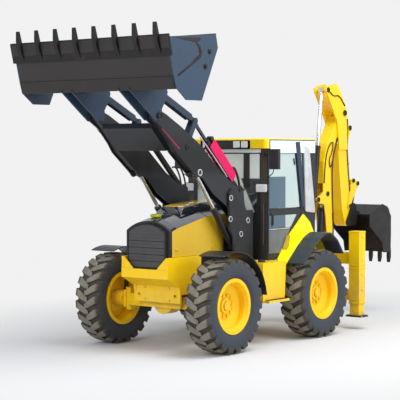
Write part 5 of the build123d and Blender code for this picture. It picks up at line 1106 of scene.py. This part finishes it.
pins = hoe_pins([(SWING_X - 0.140, 2.120), (SWING_X + 0.145, 2.030)], 0.095, 0.042)
gather("boom_pins", pins, charcoal, "boom")
pins = hoe_pins([(SWING_X - 0.100, 3.850), (SWING_X - 0.800, 3.230)], 0.125, 0.044)
pins += hoe_pins([(SWING_X - 0.790, 1.900)], 0.141, 0.036)
gather("dipper_pins", pins, charcoal, "dipper")
pins = hoe_pins([(SWING_X - 0.910, 2.330), (SWING_X - 1.050, 2.280)], 0.133, 0.038)
gather("lever_pins", pins, charcoal, "tipping_lever")
gather("boom_head_pin", hoe_pins([(SWING_X - 0.620, 3.480)], 0.135, 0.05), charcoal, "boom")
pins = hoe_pins([(SWING_X - 0.260, 0.950), (SWING_X - 0.040, 1.330)], 0.135, 0.05)
gather("post_pins", pins, charcoal, "swing_post")

# %% Hoses of the boom and the dipper
BOOM_RUN = (
    # behind the swing pivot, across, up
    (0.30, 0.106, 1.25), (0.31, 0.106, 1.60), (0.275, 0.106, 2.10), (0.255, 0.106, 2.60),
    (0.36, 0.106, 2.92), (0.55, 0.106, 3.20), (0.66, 0.106, 3.40),
)
BOOM_LOOP = (
    (0.02, 0.106, 2.30), (0.03, 0.108, 2.60), (0.13, 0.108, 2.90), (0.30, 0.108, 3.02), (0.27, 0.108, 2.82),
    (0.16, 0.108, 2.70), (0.20, 0.108, 2.52), (0.30, 0.108, 2.72), (0.42, 0.108, 3.06),
)
DIPPER_HEAD_RUN = (
    (0.14, 0.134, 3.82), (0.26, 0.134, 3.74), (0.42, 0.134, 3.78), (0.56, 0.134, 3.66), (0.62, 0.134, 3.60),
)
DIPPER_RUN = (
    (0.70, 0.134, 3.38), (0.73, 0.134, 3.20), (0.72, 0.116, 2.90), (0.77, 0.114, 2.50), (0.83, 0.114, 2.10),
)


def hoe_hose(run, side, radius):
    return hose([(SWING_X - back_by, side * y, z) for back_by, y, z in run], radius)


parts = [hoe_hose(BOOM_RUN, side, 0.010) for side in SIDES]
parts.append(hoe_hose(BOOM_LOOP, 1, 0.009))
gather("boom_hoses", parts, hose_rubber, "boom")
parts = [hoe_hose(run, side, 0.009) for side in SIDES for run in (DIPPER_HEAD_RUN, DIPPER_RUN)]
gather("dipper_hoses", parts, hose_rubber, "dipper")

# %% Cylinder heads
HEADS = (
    # piece, foot, head, from and to along the barrel, radius, bore, across
    ("dipper_barrel", (SWING_X + 0.145, 2.03), (SWING_X - 0.100, 3.85), 0.84, 0.902, 0.053, 0.034, (0,)),
    ("boom_barrel", (SWING_X - 0.040, 1.33), (SWING_X - 0.140, 2.12), 0.51, 0.562, 0.063, 0.036, (0,)),
    ("curl_barrel", (SWING_X - 0.800, 3.23), (SWING_X - 0.910, 2.33), 0.60, 0.642, 0.051, 0.028, (0,)),
    ("lift_barrels", (ARM_PIVOT_X + 0.230, 1.415), (ARM_PIVOT_X + 1.130, 2.526), 0.71, 0.762, 0.0535, 0.032,
     (0.515, -0.515)),
    ("tilt_barrels", (ARM_PIVOT_X + 0.140, 2.270), (ARM_PIVOT_X + 1.181, 3.254), 0.965, 1.012, 0.048, 0.029,
     (0.515, -0.515)),
)
for body, foot, head, near, far, radius, bore, acrosses in HEADS:
    parts = []
    for y in acrosses:
        start_at, end_at = Vector((foot[0], y, foot[1])), Vector((head[0], y, head[1]))
        way = (end_at - start_at).normalized()
        parts.append(ring(start_at + way * (near + far) / 2, way, radius, bore, far - near, 0.004))
    gather(body + "_heads", parts, charcoal, body)

# %% [markdown]
# ## Floor and light
# A studio floor under a large soft light. The floor's own colour shows near the machine; beyond
# a few metres it glows at the background's level, so the two join without a line.
# %% Studio
BACKDROP = 0.885
bpy.ops.object.select_all(action="DESELECT")
bpy.ops.mesh.primitive_circle_add(vertices=96, radius=90, fill_type="NGON")
floor = bpy.context.object
floor.name = "studio_floor"
floor_finish = Finish("studio_floor", Base_Color=(0.66, 0.66, 0.67, 1), Roughness=0.9, Specular_IOR_Level=0.1)
glow = floor_finish.node("ShaderNodeEmission", {}, {"Color": (1.0, 1.0, 1.0), "Strength": BACKDROP})
near = (floor_finish.x * floor_finish.x * 0.6 + floor_finish.y * floor_finish.y) ** 0.5
blend = floor_finish.node("ShaderNodeMixShader", {}, {0: near.above(4.6, 4.2)})
floor_finish.tree.links.new(floor_finish.shader.outputs[0], blend.socket.node.inputs[1])
floor_finish.tree.links.new(glow.socket, blend.socket.node.inputs[2])
floor_finish.tree.links.new(blend.socket, floor_finish.tree.nodes["Material Output"].inputs[0])
floor.data.materials.append(floor_finish.material)

world = bpy.data.worlds.new("studio")
bpy.context.scene.world = world
world.use_nodes = True
air = world.node_tree
background = air.nodes["Background"]
background.inputs["Strength"].default_value = 0.75
background.inputs["Color"].default_value = (0.93, 0.96, 1.0, 1)
plain = air.nodes.new("ShaderNodeBackground")
plain.inputs["Color"].default_value = (1, 1, 1, 1)
plain.inputs["Strength"].default_value = BACKDROP
rays = air.nodes.new("ShaderNodeLightPath")
seen = air.nodes.new("ShaderNodeMath")
seen.operation = "MAXIMUM"
air.links.new(rays.outputs["Is Camera Ray"], seen.inputs[0])
air.links.new(rays.outputs["Is Transmission Ray"], seen.inputs[1])
joined = air.nodes.new("ShaderNodeMixShader")
air.links.new(seen.outputs[0], joined.inputs[0])
air.links.new(background.outputs[0], joined.inputs[1])
air.links.new(plain.outputs[0], joined.inputs[2])
air.links.new(joined.outputs[0], air.nodes["World Output"].inputs[0])

LAMPS = (
    # name, place, size, watts
    ("sky_panel", (0.0, 5.5, 10.5), 7.0, 950),
    ("front_panel", (12.0, 1.0, 6.0), 4.0, 380),
    ("side_panel", (0.0, 12.0, 5.0), 5.0, 300),
)
for name, place, size, watts in LAMPS:
    aim = Vector((0, 0, 1.2)) - Vector(place)
    bpy.ops.object.light_add(type="AREA", location=place, rotation=aim.to_track_quat("-Z", "Y").to_euler())
    lamp = bpy.context.object
    lamp.name = name
    lamp.data.size = size
    lamp.data.energy = watts
print(len(LAMPS), "lamps over the studio floor")
